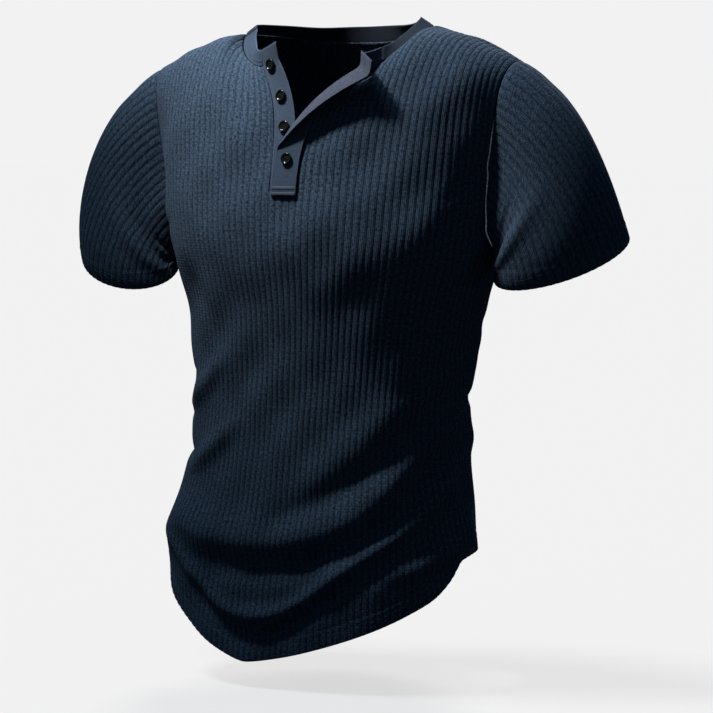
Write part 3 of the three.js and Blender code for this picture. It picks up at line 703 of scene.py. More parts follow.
def socket_of(tree: bpy.types.NodeTree, name: str) -> str:
    """Identifier of a tree's input socket."""
    for item in tree.interface.items_tree:
        if item.item_type == "SOCKET" and item.in_out == "INPUT" and item.name == name:
            return item.identifier
    raise KeyError(name)


def applied(source: bpy.types.Object, tree: bpy.types.NodeTree, inputs: dict, name: str) -> bpy.types.Object:
    """Plain mesh object that a node tree makes from a source object, which is then removed.

    Args:
        source: object that the tree starts from.
        tree: geometry node tree.
        inputs: value of each named input.
        name: name of the new object.

    Returns:
        The new object, with a plain mesh and no modifier.
    """
    modifier = source.modifiers.new("shape", "NODES")
    modifier.node_group = tree
    for label, value in inputs.items():
        modifier[socket_of(tree, label)] = value
    graph = bpy.context.evaluated_depsgraph_get()
    graph.update()
    mesh = bpy.data.meshes.new_from_object(source.evaluated_get(graph))
    mesh.name = name
    piece = bpy.data.objects.new(name, mesh)
    bpy.context.scene.collection.objects.link(piece)
    data = source.data
    bpy.data.objects.remove(source)
    if isinstance(data, bpy.types.Mesh):
        bpy.data.meshes.remove(data)
    else:
        bpy.data.curves.remove(data)
    return piece


class NodeKit:
    """Short ways to add nodes to one tree and to join them."""

    def __init__(self, tree: bpy.types.NodeTree) -> None:
        """Keeps the tree."""
        self.tree = tree

    def add(self, kind: str, **settings: object) -> bpy.types.Node:
        """New node with some of its settings."""
        node = self.tree.nodes.new(kind)
        for name, value in settings.items():
            setattr(node, name, value)
        return node

    def feed(self, target: bpy.types.NodeSocket, value: object) -> None:
        """Joins another socket to an input, or gives the input a plain value."""
        if isinstance(value, bpy.types.NodeSocket):
            self.tree.links.new(value, target)
        else:
            target.default_value = value

    def math(self, kind: str, first: object, second: object = 0.0) -> bpy.types.NodeSocket:
        """Result of a sum on two values."""
        node = self.add("ShaderNodeMath", operation=kind)
        self.feed(node.inputs[0], first)
        self.feed(node.inputs[1], second)
        return node.outputs[0]

    def crest(self, rib: bpy.types.NodeSocket) -> bpy.types.NodeSocket:
        """Rise of the ribs from 0 in a groove to 1 on a crest."""
        turn = self.math("MULTIPLY", self.math("FRACT", rib), math.pi)
        return self.math("POWER", self.math("ABSOLUTE", self.math("SINE", turn)), CREST_POWER)

    def tint(self, share: object, first: object, second: object, way: str = "MIX") -> bpy.types.NodeSocket:
        """Blend of two colours."""
        node = self.add("ShaderNodeMix", data_type="RGBA", blend_type=way)
        self.feed(node.inputs[0], share)
        self.feed(node.inputs[6], first)
        self.feed(node.inputs[7], second)
        return node.outputs[2]

    def scaled(self, vector: bpy.types.NodeSocket, size: tuple) -> bpy.types.NodeSocket:
        """Vector multiplied part by part."""
        node = self.add("ShaderNodeVectorMath", operation="MULTIPLY")
        self.feed(node.inputs[0], vector)
        self.feed(node.inputs[1], size)
        return node.outputs[0]

    def noise(self, vector: bpy.types.NodeSocket, scale: float, detail: float) -> bpy.types.NodeSocket:
        """Cloudy value from 0 to 1."""
        node = self.add("ShaderNodeTexNoise")
        self.feed(node.inputs["Vector"], vector)
        self.feed(node.inputs["Scale"], scale)
        self.feed(node.inputs["Detail"], detail)
        return node.outputs[0]

    def ranged(self, value: object, low: float, high: float) -> bpy.types.NodeSocket:
        """Value from 0 to 1 stretched from low to high."""
        return self.math("ADD", self.math("MULTIPLY", value, high - low), low)

    def attribute(self, name: str) -> bpy.types.NodeSocket:
        """Value of an attribute of the mesh in a material."""
        return self.add("ShaderNodeAttribute", attribute_name=name).outputs["Fac"]

    def named(self, name: str, kind: str) -> bpy.types.NodeSocket:
        """Value of an attribute of the mesh in a geometry tree."""
        node = self.add("GeometryNodeInputNamedAttribute", data_type=kind)
        node.inputs["Name"].default_value = name
        return node.outputs["Attribute"]


def shape_tree(name: str, sizes: tuple[str, ...]) -> tuple[NodeKit, bpy.types.Node, bpy.types.Node]:
    """Geometry tree with named sizes, a material and a geometry, and its two end nodes.

    Args:
        name: name of the tree.
        sizes: names of its size inputs.

    Returns:
        Node kit of the tree, its input node and its output node.
    """
    tree = bpy.data.node_groups.new(name, "GeometryNodeTree")
    face = tree.interface
    face.new_socket("Geometry", in_out="INPUT", socket_type="NodeSocketGeometry")
    for label in sizes:
        face.new_socket(label, in_out="INPUT", socket_type="NodeSocketFloat")
    face.new_socket("Seed", in_out="INPUT", socket_type="NodeSocketInt")
    face.new_socket("Material", in_out="INPUT", socket_type="NodeSocketMaterial")
    face.new_socket("Geometry", in_out="OUTPUT", socket_type="NodeSocketGeometry")
    kit = NodeKit(tree)
    return kit, kit.add("NodeGroupInput"), kit.add("NodeGroupOutput")


def finish_tree(kit: NodeKit, start: bpy.types.Node, end: bpy.types.Node, made: bpy.types.NodeSocket) -> None:
    """Ends a tree with real geometry that has its material."""
    real = kit.add("GeometryNodeRealizeInstances")
    kit.feed(real.inputs[0], made)
    dress_node = kit.add("GeometryNodeSetMaterial")
    kit.feed(dress_node.inputs["Geometry"], real.outputs[0])
    kit.feed(dress_node.inputs["Material"], start.outputs["Material"])
    kit.feed(end.inputs[0], dress_node.outputs[0])


class RibTree:
    """Geometry nodes that raise the ribs of a wall along the way out of its cloth."""

    def __init__(self) -> None:
        """Builds the tree with its sizes as named inputs."""
        kit, start, end = shape_tree("Raise the ribs", ("Rib height", "Groove depth", "Inner rib height"))
        depth = start.outputs["Groove depth"]
        crest = kit.crest(kit.named("rib", "FLOAT"))
        outside = kit.named("outside", "FLOAT")
        raised = kit.math("SUBTRACT", kit.math("MULTIPLY", crest, kit.math(
            "ADD", start.outputs["Rib height"], depth)), depth)
        lowered = kit.math("MULTIPLY", kit.math("MULTIPLY", crest, start.outputs["Inner rib height"]), -1.0)
        inside = kit.math("MULTIPLY", lowered, kit.math("SUBTRACT", 1.0, outside))
        relief = kit.math("ADD", kit.math("MULTIPLY", raised, outside), inside)
        height = kit.math("MULTIPLY", kit.math("MULTIPLY", relief, kit.named("fade", "FLOAT")), MM)
        scale = kit.add("ShaderNodeVectorMath", operation="SCALE")
        kit.feed(scale.inputs[0], kit.named("out", "FLOAT_VECTOR"))
        kit.feed(scale.inputs["Scale"], height)
        move = kit.add("GeometryNodeSetPosition")
        kit.feed(move.inputs["Geometry"], start.outputs["Geometry"])
        kit.feed(move.inputs["Offset"], scale.outputs[0])
        finish_tree(kit, start, end, move.outputs[0])
        self.tree = kit.tree

    def raise_ribs(self, wall: Wall, name: str, material: bpy.types.Material) -> bpy.types.Object:
        """Finished piece of rib knit.

        Args:
            wall: wall of the piece.
            name: name of the piece.
            material: its knit.

        Returns:
            The piece as a plain mesh.
        """
        source = bpy.data.objects.new(name + "_form", wall.mesh(name + "_form"))
        bpy.context.scene.collection.objects.link(source)
        return applied(source, self.tree, {
            "Rib height": RIB_HEIGHT,
            "Groove depth": GROOVE_DEPTH,
            "Inner rib height": INNER_RIB_HEIGHT,
            "Material": material,
        }, name)


@dataclass(frozen=True)
class SeamLine:
    """Line of points on the cloth with the way out of the cloth at each, in millimetres."""

    points: Grid
    out: Grid


@dataclass(frozen=True)
class Thread:
    """Size of a row's stitches in millimetres, and their turn from the row in degrees."""

    pitch: float = 3.2
    length: float = 2.7
    thickness: float = 0.55
    turn: float = 0.0
    seed: int = 3


class StitchTree:
    """Geometry nodes that sew a row of stitches along each line of a mesh of edges."""

    def __init__(self) -> None:
        """Builds the tree with its sizes as named inputs."""
        kit, start, end = shape_tree("Row of stitches", ("Pitch", "Length", "Thickness", "Turn"))
        line = kit.add("GeometryNodeMeshToCurve")
        kit.feed(line.inputs[0], start.outputs["Geometry"])
        evenly = kit.add("GeometryNodeResampleCurve", mode="LENGTH")
        kit.feed(evenly.inputs["Curve"], line.outputs[0])
        kit.feed(evenly.inputs["Length"], start.outputs["Pitch"])
        stitch = kit.add("GeometryNodeMeshUVSphere")
        stitch.inputs["Segments"].default_value = 6
        stitch.inputs["Rings"].default_value = 4
        stitch.inputs["Radius"].default_value = 0.5
        lay = kit.add("FunctionNodeAlignRotationToVector", axis="X")
        kit.feed(lay.inputs["Vector"], kit.add("GeometryNodeInputTangent").outputs[0])
        face = kit.add("FunctionNodeAlignRotationToVector", axis="Z", pivot_axis="X")
        kit.feed(face.inputs["Rotation"], lay.outputs[0])
        kit.feed(face.inputs["Vector"], kit.named("out", "FLOAT_VECTOR"))
        uneven = kit.add("FunctionNodeRandomValue", data_type="FLOAT")
        kit.feed(uneven.inputs[2], -0.09)
        kit.feed(uneven.inputs[3], 0.09)
        kit.feed(uneven.inputs["Seed"], start.outputs["Seed"])
        swing = kit.add("ShaderNodeCombineXYZ")
        kit.feed(swing.inputs["Z"], kit.math("ADD", uneven.outputs[1], start.outputs["Turn"]))
        turned = kit.add("FunctionNodeRotateRotation", rotation_space="LOCAL")
        kit.feed(turned.inputs[0], face.outputs[0])
        angle = kit.add("FunctionNodeEulerToRotation")
        kit.feed(angle.inputs[0], swing.outputs[0])
        kit.feed(turned.inputs[1], angle.outputs[0])
        size = kit.add("ShaderNodeCombineXYZ")
        thickness = start.outputs["Thickness"]
        kit.feed(size.inputs["X"], start.outputs["Length"])
        kit.feed(size.inputs["Y"], thickness)
        kit.feed(size.inputs["Z"], kit.math("MULTIPLY", thickness, 0.8))
        place = kit.add("GeometryNodeInstanceOnPoints")
        kit.feed(place.inputs["Points"], evenly.outputs[0])
        kit.feed(place.inputs["Instance"], stitch.outputs["Mesh"])
        kit.feed(place.inputs["Rotation"], turned.outputs[0])
        kit.feed(place.inputs["Scale"], size.outputs[0])
        soft = kit.add("GeometryNodeSetShadeSmooth")
        kit.feed(soft.inputs[0], place.outputs[0])
        finish_tree(kit, start, end, soft.outputs[0])
        self.tree = kit.tree

    def sew(self, lines: list[SeamLine], thread: Thread, name: str, material: bpy.types.Material) -> bpy.types.Object:
        """Stitches along some lines, as one piece.

        Args:
            lines: lines to sew along.
            thread: size of the stitches.
            name: name of the piece.
            material: material of the thread.

        Returns:
            The finished piece.
        """
        edges = []
        first = 0
        for line in lines:
            count = len(line.points)
            edges += [(first + i, first + i + 1) for i in range(count - 1)]
            first += count
        mesh = bpy.data.meshes.new(name + "_lines")
        points = np.concatenate([line.points for line in lines]) * MM
        mesh.from_pydata(points.tolist(), edges, [])
        outs = np.concatenate([line.out for line in lines])
        mesh.attributes.new("out", "FLOAT_VECTOR", "POINT").data.foreach_set("vector", outs.ravel())
        source = bpy.data.objects.new(name + "_lines", mesh)
        bpy.context.scene.collection.objects.link(source)
        piece = applied(source, self.tree, {
            "Pitch": thread.pitch * MM,
            "Length": thread.length * MM,
            "Thickness": thread.thickness * MM,
            "Turn": math.radians(thread.turn),
            "Seed": thread.seed,
            "Material": material,
        }, name)
        dress(piece, "")
        return piece


# Cloth pieces

STITCH_ROWS = (6.5, 1.2)
HEM_STITCH_ROWS = (7, 10)


def hem_profile(turn_up: float) -> Grid:
    """Distances from a hem's edge at which it has rows of points, two of them for its stitches."""
    low, high = (turn_up - below for below in STITCH_ROWS)
    return np.array([0, 0.25, 0.8, 2, 6, 10, low - 1.2, low, low + 1.2, high - 1.2, high,
                     turn_up, turn_up + 1.2])


def hem_grooves(distance: Grid, turn_up: float) -> Grid:
    """Shallow grooves along the edge of the turned-up cloth and under each row of stitches."""
    step = -0.35 * np.exp(-((distance - turn_up) / 1.0) ** 2)
    rows = sum(np.exp(-((distance - turn_up + below) / 0.9) ** 2) for below in STITCH_ROWS)
    return step - 0.3 * rows


@dataclass(frozen=True)
class Cut:
    """Flat size of a cloth piece as it shows, in metres, and its area in square metres."""

    width: float
    length: float
    area: float


def dress(piece: bpy.types.Object, node: str) -> None:
    """Parents a finished piece to the root body, hides the CAD part that it stands for and logs its faces.

    Args:
        piece: the finished object.
        node: CAD node that it stands for, or an empty string.
    """
    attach(piece, "root")
    if node:
        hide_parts(node)
    faces = len(piece.data.polygons)
    log.info("%s: %d faces", piece.name, faces)


@dataclass
class Panel:
    """Front or back of the body."""

    facing: Facing
    form: BodyForm
    cut: Cut
    lower_rows: int = 88
    upper_rows: int = 34
    low_density: float = 1.25
    turn_up: float = 20.0
    turn_up_swell: float = 0.45
    seam_dip: float = 0.6
    seam_reach: float = 4.0
    seams: list[SeamLine] = field(default_factory=list)

    def wall(self) -> Wall:
        """Wall of the panel before its ribs are raised."""
        trim = SEAM_GAP / 2 / RIB_PITCH
        rib = rib_places(trim - HALF_RIBS, HALF_RIBS - trim)
        height = (self.form.armhole(rib) - self.form.hem(rib, self.facing))[None, :]
        even = (np.linspace(0, 1, self.lower_rows) ** self.low_density)[:, None]
        rest = lerp((self.turn_up + 5) / height, 1 - 5 / height, even)
        lower_share = np.concatenate([hem_profile(self.turn_up)[:, None] / height, rest,
                                      1 - 2 / height, 1 + 0 * height])
        top_trim = SEAM_GAP / 2 / -CHEST
        upper_reach = np.concatenate([np.linspace(0, 1, self.upper_rows + 1)[1:-1],
                                      [0.985, 1 - top_trim]])
        low, low_out = self.form.lower(rib[None, :], lower_share, self.facing)
        inside = np.clip(np.abs(rib), 0, ARMHOLE_RIB) * np.sign(rib)
        if not self.facing.is_back:
            side = np.where(inside < 0, -1.0, 1.0)
            inside = side * np.maximum(np.abs(inside), PLACKET_RIB)
        high, high_out = self.form.upper(inside[None, :], upper_reach[:, None], self.facing)
        point = np.concatenate([low, high])
        out = np.concatenate([low_out, high_out])
        rows = len(point)
        is_upper = np.arange(rows) >= len(low)
        distance, hem_distance = self._edges(point, rib, is_upper)
        dip = -self.seam_dip * (1 - smooth(distance, 0, self.seam_reach))
        swell = self.turn_up_swell * (1 - smooth(hem_distance, self.turn_up - 1, self.turn_up + 0.6))
        thickness = WALL * edge_roundness(hem_distance, 0.9)
        middle = dip + swell + hem_grooves(hem_distance, self.turn_up) - WALL / 2
        outer = point + out * (middle + thickness / 2)[..., None]
        inner = point + out * (np.minimum(dip, 0) - WALL / 2 - thickness / 2)[..., None]
        cell = np.abs((rib[1:] + rib[:-1]) / 2)
        is_upper_cell = is_upper[1:]
        present = ~is_upper_cell[:, None] | (cell < ARMHOLE_RIB)[None, :]
        if not self.facing.is_back:
            present &= ~(is_upper_cell[:, None] & (cell < PLACKET_RIB)[None, :])
        run = point[..., 2].copy()
        run[is_upper] = CHEST + np.linalg.norm(point[is_upper] - low[-1][None], axis=-1)
        fade = smooth(distance, 0.2, 3.5) * lerp(1.0, 0.8, hem_distance < self.turn_up)
        return Wall(outer, inner, present, out, np.broadcast_to(rib, run.shape), fade, run)

    def _edges(self, point: Grid, rib: Grid, is_upper: Grid) -> tuple[Grid, Grid]:
        """Distances from the seams and from the hem, in millimetres.

        Args:
            point: points of the panel, [row, column, xyz].
            rib: rib place of each column.
            is_upper: true for the rows above the chest line.

        Returns:
            Two grids of distances, to the nearest seam and to the hem.
        """
        count = np.abs(rib)[None, :]
        seam = (HALF_RIBS - count) * RIB_PITCH + 0 * point[..., 2]
        last = int(np.argmax(is_upper)) - 1
        beyond = np.linalg.norm(point[last][None] - point, axis=-1)
        shut = (count > ARMHOLE_RIB) & ~is_upper[:, None]
        distance = np.where(shut, np.minimum(seam, beyond), seam)
        armhole = (ARMHOLE_RIB - count) * RIB_PITCH
        top = np.linalg.norm(point[-1][None] - point, axis=-1)
        up = np.minimum(np.maximum(armhole, 0), top)
        distance = np.where(is_upper[:, None], np.minimum(up, distance), distance)
        if not self.facing.is_back:
            notch = np.hypot(np.maximum(count - PLACKET_RIB, 0) * RIB_PITCH,
                             np.where(is_upper[:, None], 0.0, beyond))
            distance = np.minimum(distance, notch)
        hem = np.linalg.norm(point - point[0][None], axis=-1)
        return distance, hem

    def build(self, ribs: RibTree, material: bpy.types.Material) -> bpy.types.Object:
        """Finished panel."""
        node = "back" if self.facing.is_back else "front"
        wall = self.wall()
        self.seams = [wall.row_line(row) for row in HEM_STITCH_ROWS]
        piece = ribs.raise_ribs(wall, "panel_" + node, material)
        dress(piece, node)
        return piece


SLEEVE_GIRTH = 400.0
SLEEVE_LENGTH = 210.0
SLEEVE_RIBS = 48
SLEEVE_FOLDS = (
    Fold("front pull", ((0.97, 0.72), (0.72, 0.55), (0.48, 0.45)), 15, 5),
    Fold("front crease", ((0.98, 0.3), (0.8, 0.34), (0.6, 0.3)), 9, -4),
    Fold("front low crease", ((0.98, 0.55), (0.82, 0.42), (0.62, 0.4)), 8, -4),
    Fold("back pull", ((-0.96, 0.65), (-0.7, 0.5), (-0.45, 0.45)), 15, 4),
    Fold("back crease", ((-0.98, 0.35), (-0.78, 0.4), (-0.55, 0.36)), 9, -4),
    Fold("cap dimple", ((0.3, 0.1), (0.05, 0.16), (-0.25, 0.12)), 14, -2),
)


@dataclass
class Sleeve:
    """Short sleeve from the armhole to its turned-up cuff."""

    name: str
    corners: Corners
    form: BodyForm
    cut: Cut
    cuff: tuple[float, float, float]
    long: float
    short: float
    turn: float = 28.0
    outer_lift: float = 18.0
    front_drop: float = 24.0
    folds: tuple[Fold, ...] = SLEEVE_FOLDS
    gap: float = 0.5
    rows: int = 44
    turn_up: float = 22.0
    turn_up_swell: float = 0.45
    top_handle: float = 0.36
    under_handle: float = 0.3
    cuff_handle: float = 0.34
    seams: list[SeamLine] = field(default_factory=list)

    def armhole_half(self, facing: Facing, shares: Grid) -> Grid:
        """Points of half the armhole, from the shoulder point down to the underarm."""
        side = self.corners.side
        steps = np.linspace(1, 0, 60)
        down = self.form.upper(side * ARMHOLE_RIB + 0 * steps, steps, facing)[0]
        under = np.linspace(ARMHOLE_RIB, HALF_RIBS, 80)[1:]
        round_under = self.form.lower(side * under, 1.0 + 0 * under, facing)[0]
        return spread(np.concatenate([down, round_under]), shares)

    def cuff_axes(self) -> tuple[Grid, Grid, Grid]:
        """Long and short half axes of the cuff, and the way that the arm leaves it."""
        side = self.corners.side
        turn = math.radians(self.turn)
        lift = math.tan(math.radians(self.outer_lift))
        drop = math.tan(math.radians(self.front_drop))
        long = unit([side * math.cos(turn), math.sin(turn), lift])
        front = unit([side * math.sin(turn), -math.cos(turn), -drop])
        axis = unit(np.cross(long, front))
        return long, front, axis * (-1 if axis[2] > 0 else 1)

    def curves(self) -> tuple[Grid, Grid, Grid]:
        """Control points of the rib lines, their turn round the sleeve and their rib places."""
        side = self.corners.side
        half = SLEEVE_RIBS / 2
        places = rib_places(0.0, float(SLEEVE_RIBS))[:-1]
        is_back = places > half
        t = np.where(is_back, SLEEVE_RIBS - places, places) / half
        facing = np.where(is_back, 1.0, -1.0)
        start = np.where(is_back[:, None], self.armhole_half(Facing.BACK, t),
                         self.armhole_half(Facing.FRONT, t))
        s = t[:, None]
        heading = ((1 - s) ** 2 * np.array([0.9, 0, -0.44]) + 2 * s * (1 - s) * np.array([0.85, 0.25, -0.45])
                   + s * s * np.array([0.75, 0, -0.66]))
        heading = unit(heading * np.stack([side + 0 * t, facing, 1 + 0 * t], axis=-1))
        long, front, axis = self.cuff_axes()
        angle = (np.pi * t * -facing)[:, None]
        end = np.array(self.cuff) + long * self.long * np.cos(angle) + front * self.short * np.sin(angle)
        origin = start + heading * self.gap
        span = np.linalg.norm(end - origin, axis=1, keepdims=True)
        first = origin + heading * span * lerp(self.top_handle, self.under_handle, s)
        second = end - axis * span * self.cuff_handle
        return np.stack([origin, first, second, end]), t * -facing, places

    def surface(self, reach: Grid, shift: int = 0) -> Grid:
        """Bare points at each reach on every rib line, moved on by some columns."""
        controls = self.curves()[0]
        controls = np.roll(controls, -shift, axis=1)
        return cubic(*(controls[k][None] for k in range(4)), np.broadcast_to(
            reach[:, None], (len(reach), controls.shape[1])))

    def draped(self, reach: Grid) -> tuple[Grid, Grid]:
        """Draped points and ways out of the cloth, [row, column, xyz].

        Args:
            reach: share of the way down the sleeve of each row.

        Returns:
            The points and the unit ways out.
        """
        across = self.surface(reach, 1) - self.surface(reach, -1)
        along = self.surface(np.minimum(1, reach + 0.02)) - self.surface(np.maximum(0, reach - 0.02))
        out = unit(np.cross(across, along)) * self.corners.side
        turn = self.curves()[1][None, :]
        rise = sum(fold.at(turn, reach[:, None], (SLEEVE_GIRTH / 2, SLEEVE_LENGTH)) for fold in self.folds)
        rise = rise * np.sin(np.pi * reach)[:, None]
        return self.surface(reach) + out * rise[..., None], out

    def wall(self) -> Wall:
        """Wall of the sleeve before its ribs are raised."""
        hem = hem_profile(self.turn_up)[::-1]
        reach = np.concatenate([[0, 0.008, 0.02], np.linspace(
            0.04, 1 - (self.turn_up + 4) / SLEEVE_LENGTH, self.rows), 1 - hem / SLEEVE_LENGTH])
        point, out = self.draped(reach)
        places = self.curves()[2]
        seam = np.linalg.norm(point - point[0][None], axis=-1)
        hem_distance = np.linalg.norm(point - point[-1][None], axis=-1)
        dip = -0.6 * (1 - smooth(seam, 0, 4))
        swell = self.turn_up_swell * (1 - smooth(hem_distance, self.turn_up - 1, self.turn_up + 0.6))
        thickness = WALL * edge_roundness(hem_distance, 0.9)
        groove = hem_grooves(hem_distance, self.turn_up)
        outer = point + out * (dip + swell + groove - WALL / 2 + thickness / 2)[..., None]
        inner = point + out * (dip - WALL / 2 - thickness / 2)[..., None]
        present = np.ones((len(reach) - 1, point.shape[1]), dtype=bool)
        fade = smooth(seam, 0.2, 3.5) * lerp(1.0, 0.8, hem_distance < self.turn_up)
        run = np.concatenate([[0 * places], np.cumsum(
            np.linalg.norm(np.diff(point, axis=0), axis=-1), axis=0)])
        return Wall(outer, inner, present, out, np.broadcast_to(places, run.shape), fade, run, wrapped=True)

    def build(self, ribs: RibTree, material: bpy.types.Material) -> bpy.types.Object:
        """Finished sleeve."""
        wall = self.wall()
        self.seams = [wall.row_line(-1 - row) for row in HEM_STITCH_ROWS]
        piece = ribs.raise_ribs(wall, "sleeve_tube_" + self.name, material)
        dress(piece, "sleeve_" + self.name)
        return piece


def band_rise(point: Grid) -> Grid:
    """Way in which the neckband stands up from the neckline: more inwards at the shoulders."""
    inward = unit(np.stack([-point[..., 0], -point[..., 1], 0 * point[..., 0]], axis=-1))
    sideways = inward[..., :1] ** 2
    lean = lerp(0.3, 0.85, sideways) - 0.5 * (1 - smooth(point[..., 1:2], -85, -25))
    return unit(inward * lean + np.array([0.0, 0.0, 1.0]) * lerp(0.95, 0.55, sideways))


def plain_wall(middle: Grid, out: Grid, thickness: Grid, across: Grid, run: Grid, edge_lightening: Grid) -> Wall:
    """Wall of plain cloth on both sides of its middle surface.

    Args:
        middle: points of the middle surface.
        out: way out of the cloth at each.
        thickness: thickness at each.
        across, run: places on the cloth for the weave, in rib widths and in millimetres.
        edge_lightening: 0 at an edge, where the knit is painted lighter as a highlight, and 1 away from it.

    Returns:
        The wall.
    """
    outer = middle + out * (thickness / 2)[..., None]
    inner = middle - out * (thickness / 2)[..., None]
    present = np.ones((middle.shape[0] - 1, middle.shape[1] - 1), dtype=bool)
    shape = middle.shape[:2]
    return Wall(outer, inner, present, out, np.broadcast_to(across, shape),
                np.broadcast_to(edge_lightening, shape), np.broadcast_to(run, shape), ribbed=False)


def plain_piece(wall: Wall, name: str, material: bpy.types.Material) -> bpy.types.Object:
    """Finished piece of plain cloth."""
    piece = bpy.data.objects.new(name, wall.mesh(name))
    bpy.context.scene.collection.objects.link(piece)
    piece.data.materials.append(material)
    return piece


def grid_out(grid: Grid) -> Grid:
    """Way out of a grid of points, from its own rows and columns."""
    across = np.gradient(grid, axis=1)
    along = np.gradient(grid, axis=0)
    return unit(np.cross(across, along))


@dataclass
class Neckband:
    """Plain folded band that stands round the neckline."""

    form: BodyForm
    cut: Cut
    height: float = 17.0
    thickness: float = 1.8
    stitch_row: int = 4
    gap: float = 0.45
    shoulder_gap: float = 1.1
    front_steps: int = 60
    back_steps: int = 130
    seams: list[SeamLine] = field(default_factory=list)

    def seam(self) -> tuple[Grid, Grid]:
        """Neckline from the wearer's right corner round the back to the left corner."""
        front = np.linspace(PLACKET_RIB, NECK_RIB, self.front_steps + 1)
        back = np.linspace(-NECK_RIB, NECK_RIB, self.back_steps + 1)
        ones = np.ones(len(front) - 1)
        parts = [self.form.upper(-front[:-1], ones, Facing.FRONT),
                 self.form.upper(back[:-1], np.ones(len(back) - 1), Facing.BACK),
                 self.form.upper(front[::-1], np.ones(len(front)), Facing.FRONT)]
        return np.concatenate([p for p, _ in parts]), np.concatenate([o for _, o in parts])

    def build(self, material: bpy.types.Material) -> bpy.types.Object:
        """Finished neckband."""
        point, panel_out = self.seam()
        rise = band_rise(point)
        heights = np.array([0, 0.4, 1.2, 2.2, 2.9, 3.6, 4.6, 5.8, 7.5, 9.5, 11.5, 13.5,
                            15, 15.9, 16.5, 16.85, 17])
        extra = self.shoulder_gap * (point[:, 0] / LEFT.neck[0]) ** 6
        face = point[None] + rise[None] * (self.gap + heights[:, None] + extra[None])[..., None]
        along = np.gradient(face, axis=1)
        own = unit(np.cross(along, np.broadcast_to(rise, face.shape)))
        own *= np.sign(np.sum(own * panel_out[None], axis=-1, keepdims=True))
        slant = smooth(heights, 0, 3)[:, None, None]
        out = unit(lerp(np.broadcast_to(panel_out, face.shape), own, slant))
        stitched = heights[self.stitch_row]
        relief = 0.35 * np.exp(-((heights - stitched - 1.8) / 0.9) ** 2)
        relief -= 0.4 * np.exp(-((heights - stitched) / 0.6) ** 2)
        shape = edge_roundness(self.height - heights, 1.2) * self.thickness + relief
        thickness = shape[:, None] + 0 * face[..., 0]
        middle = face - out * ((self.thickness - relief) / 2)[:, None, None]
        length = np.concatenate([[0], np.cumsum(np.linalg.norm(np.diff(point, axis=0), axis=1))])
        # Painted highlight: the knit is drawn lighter along the band's top fold.
        edge_lightening = smooth(self.height - heights, 0, 1.6)[:, None]
        wall = plain_wall(middle, out, thickness, length[None, :] / RIB_PITCH, heights[:, None], edge_lightening)
        self.seams = [wall.row_line(self.stitch_row)]
        piece = plain_piece(wall, "neckband_fold", material)
        dress(piece, "neckband")
        return piece


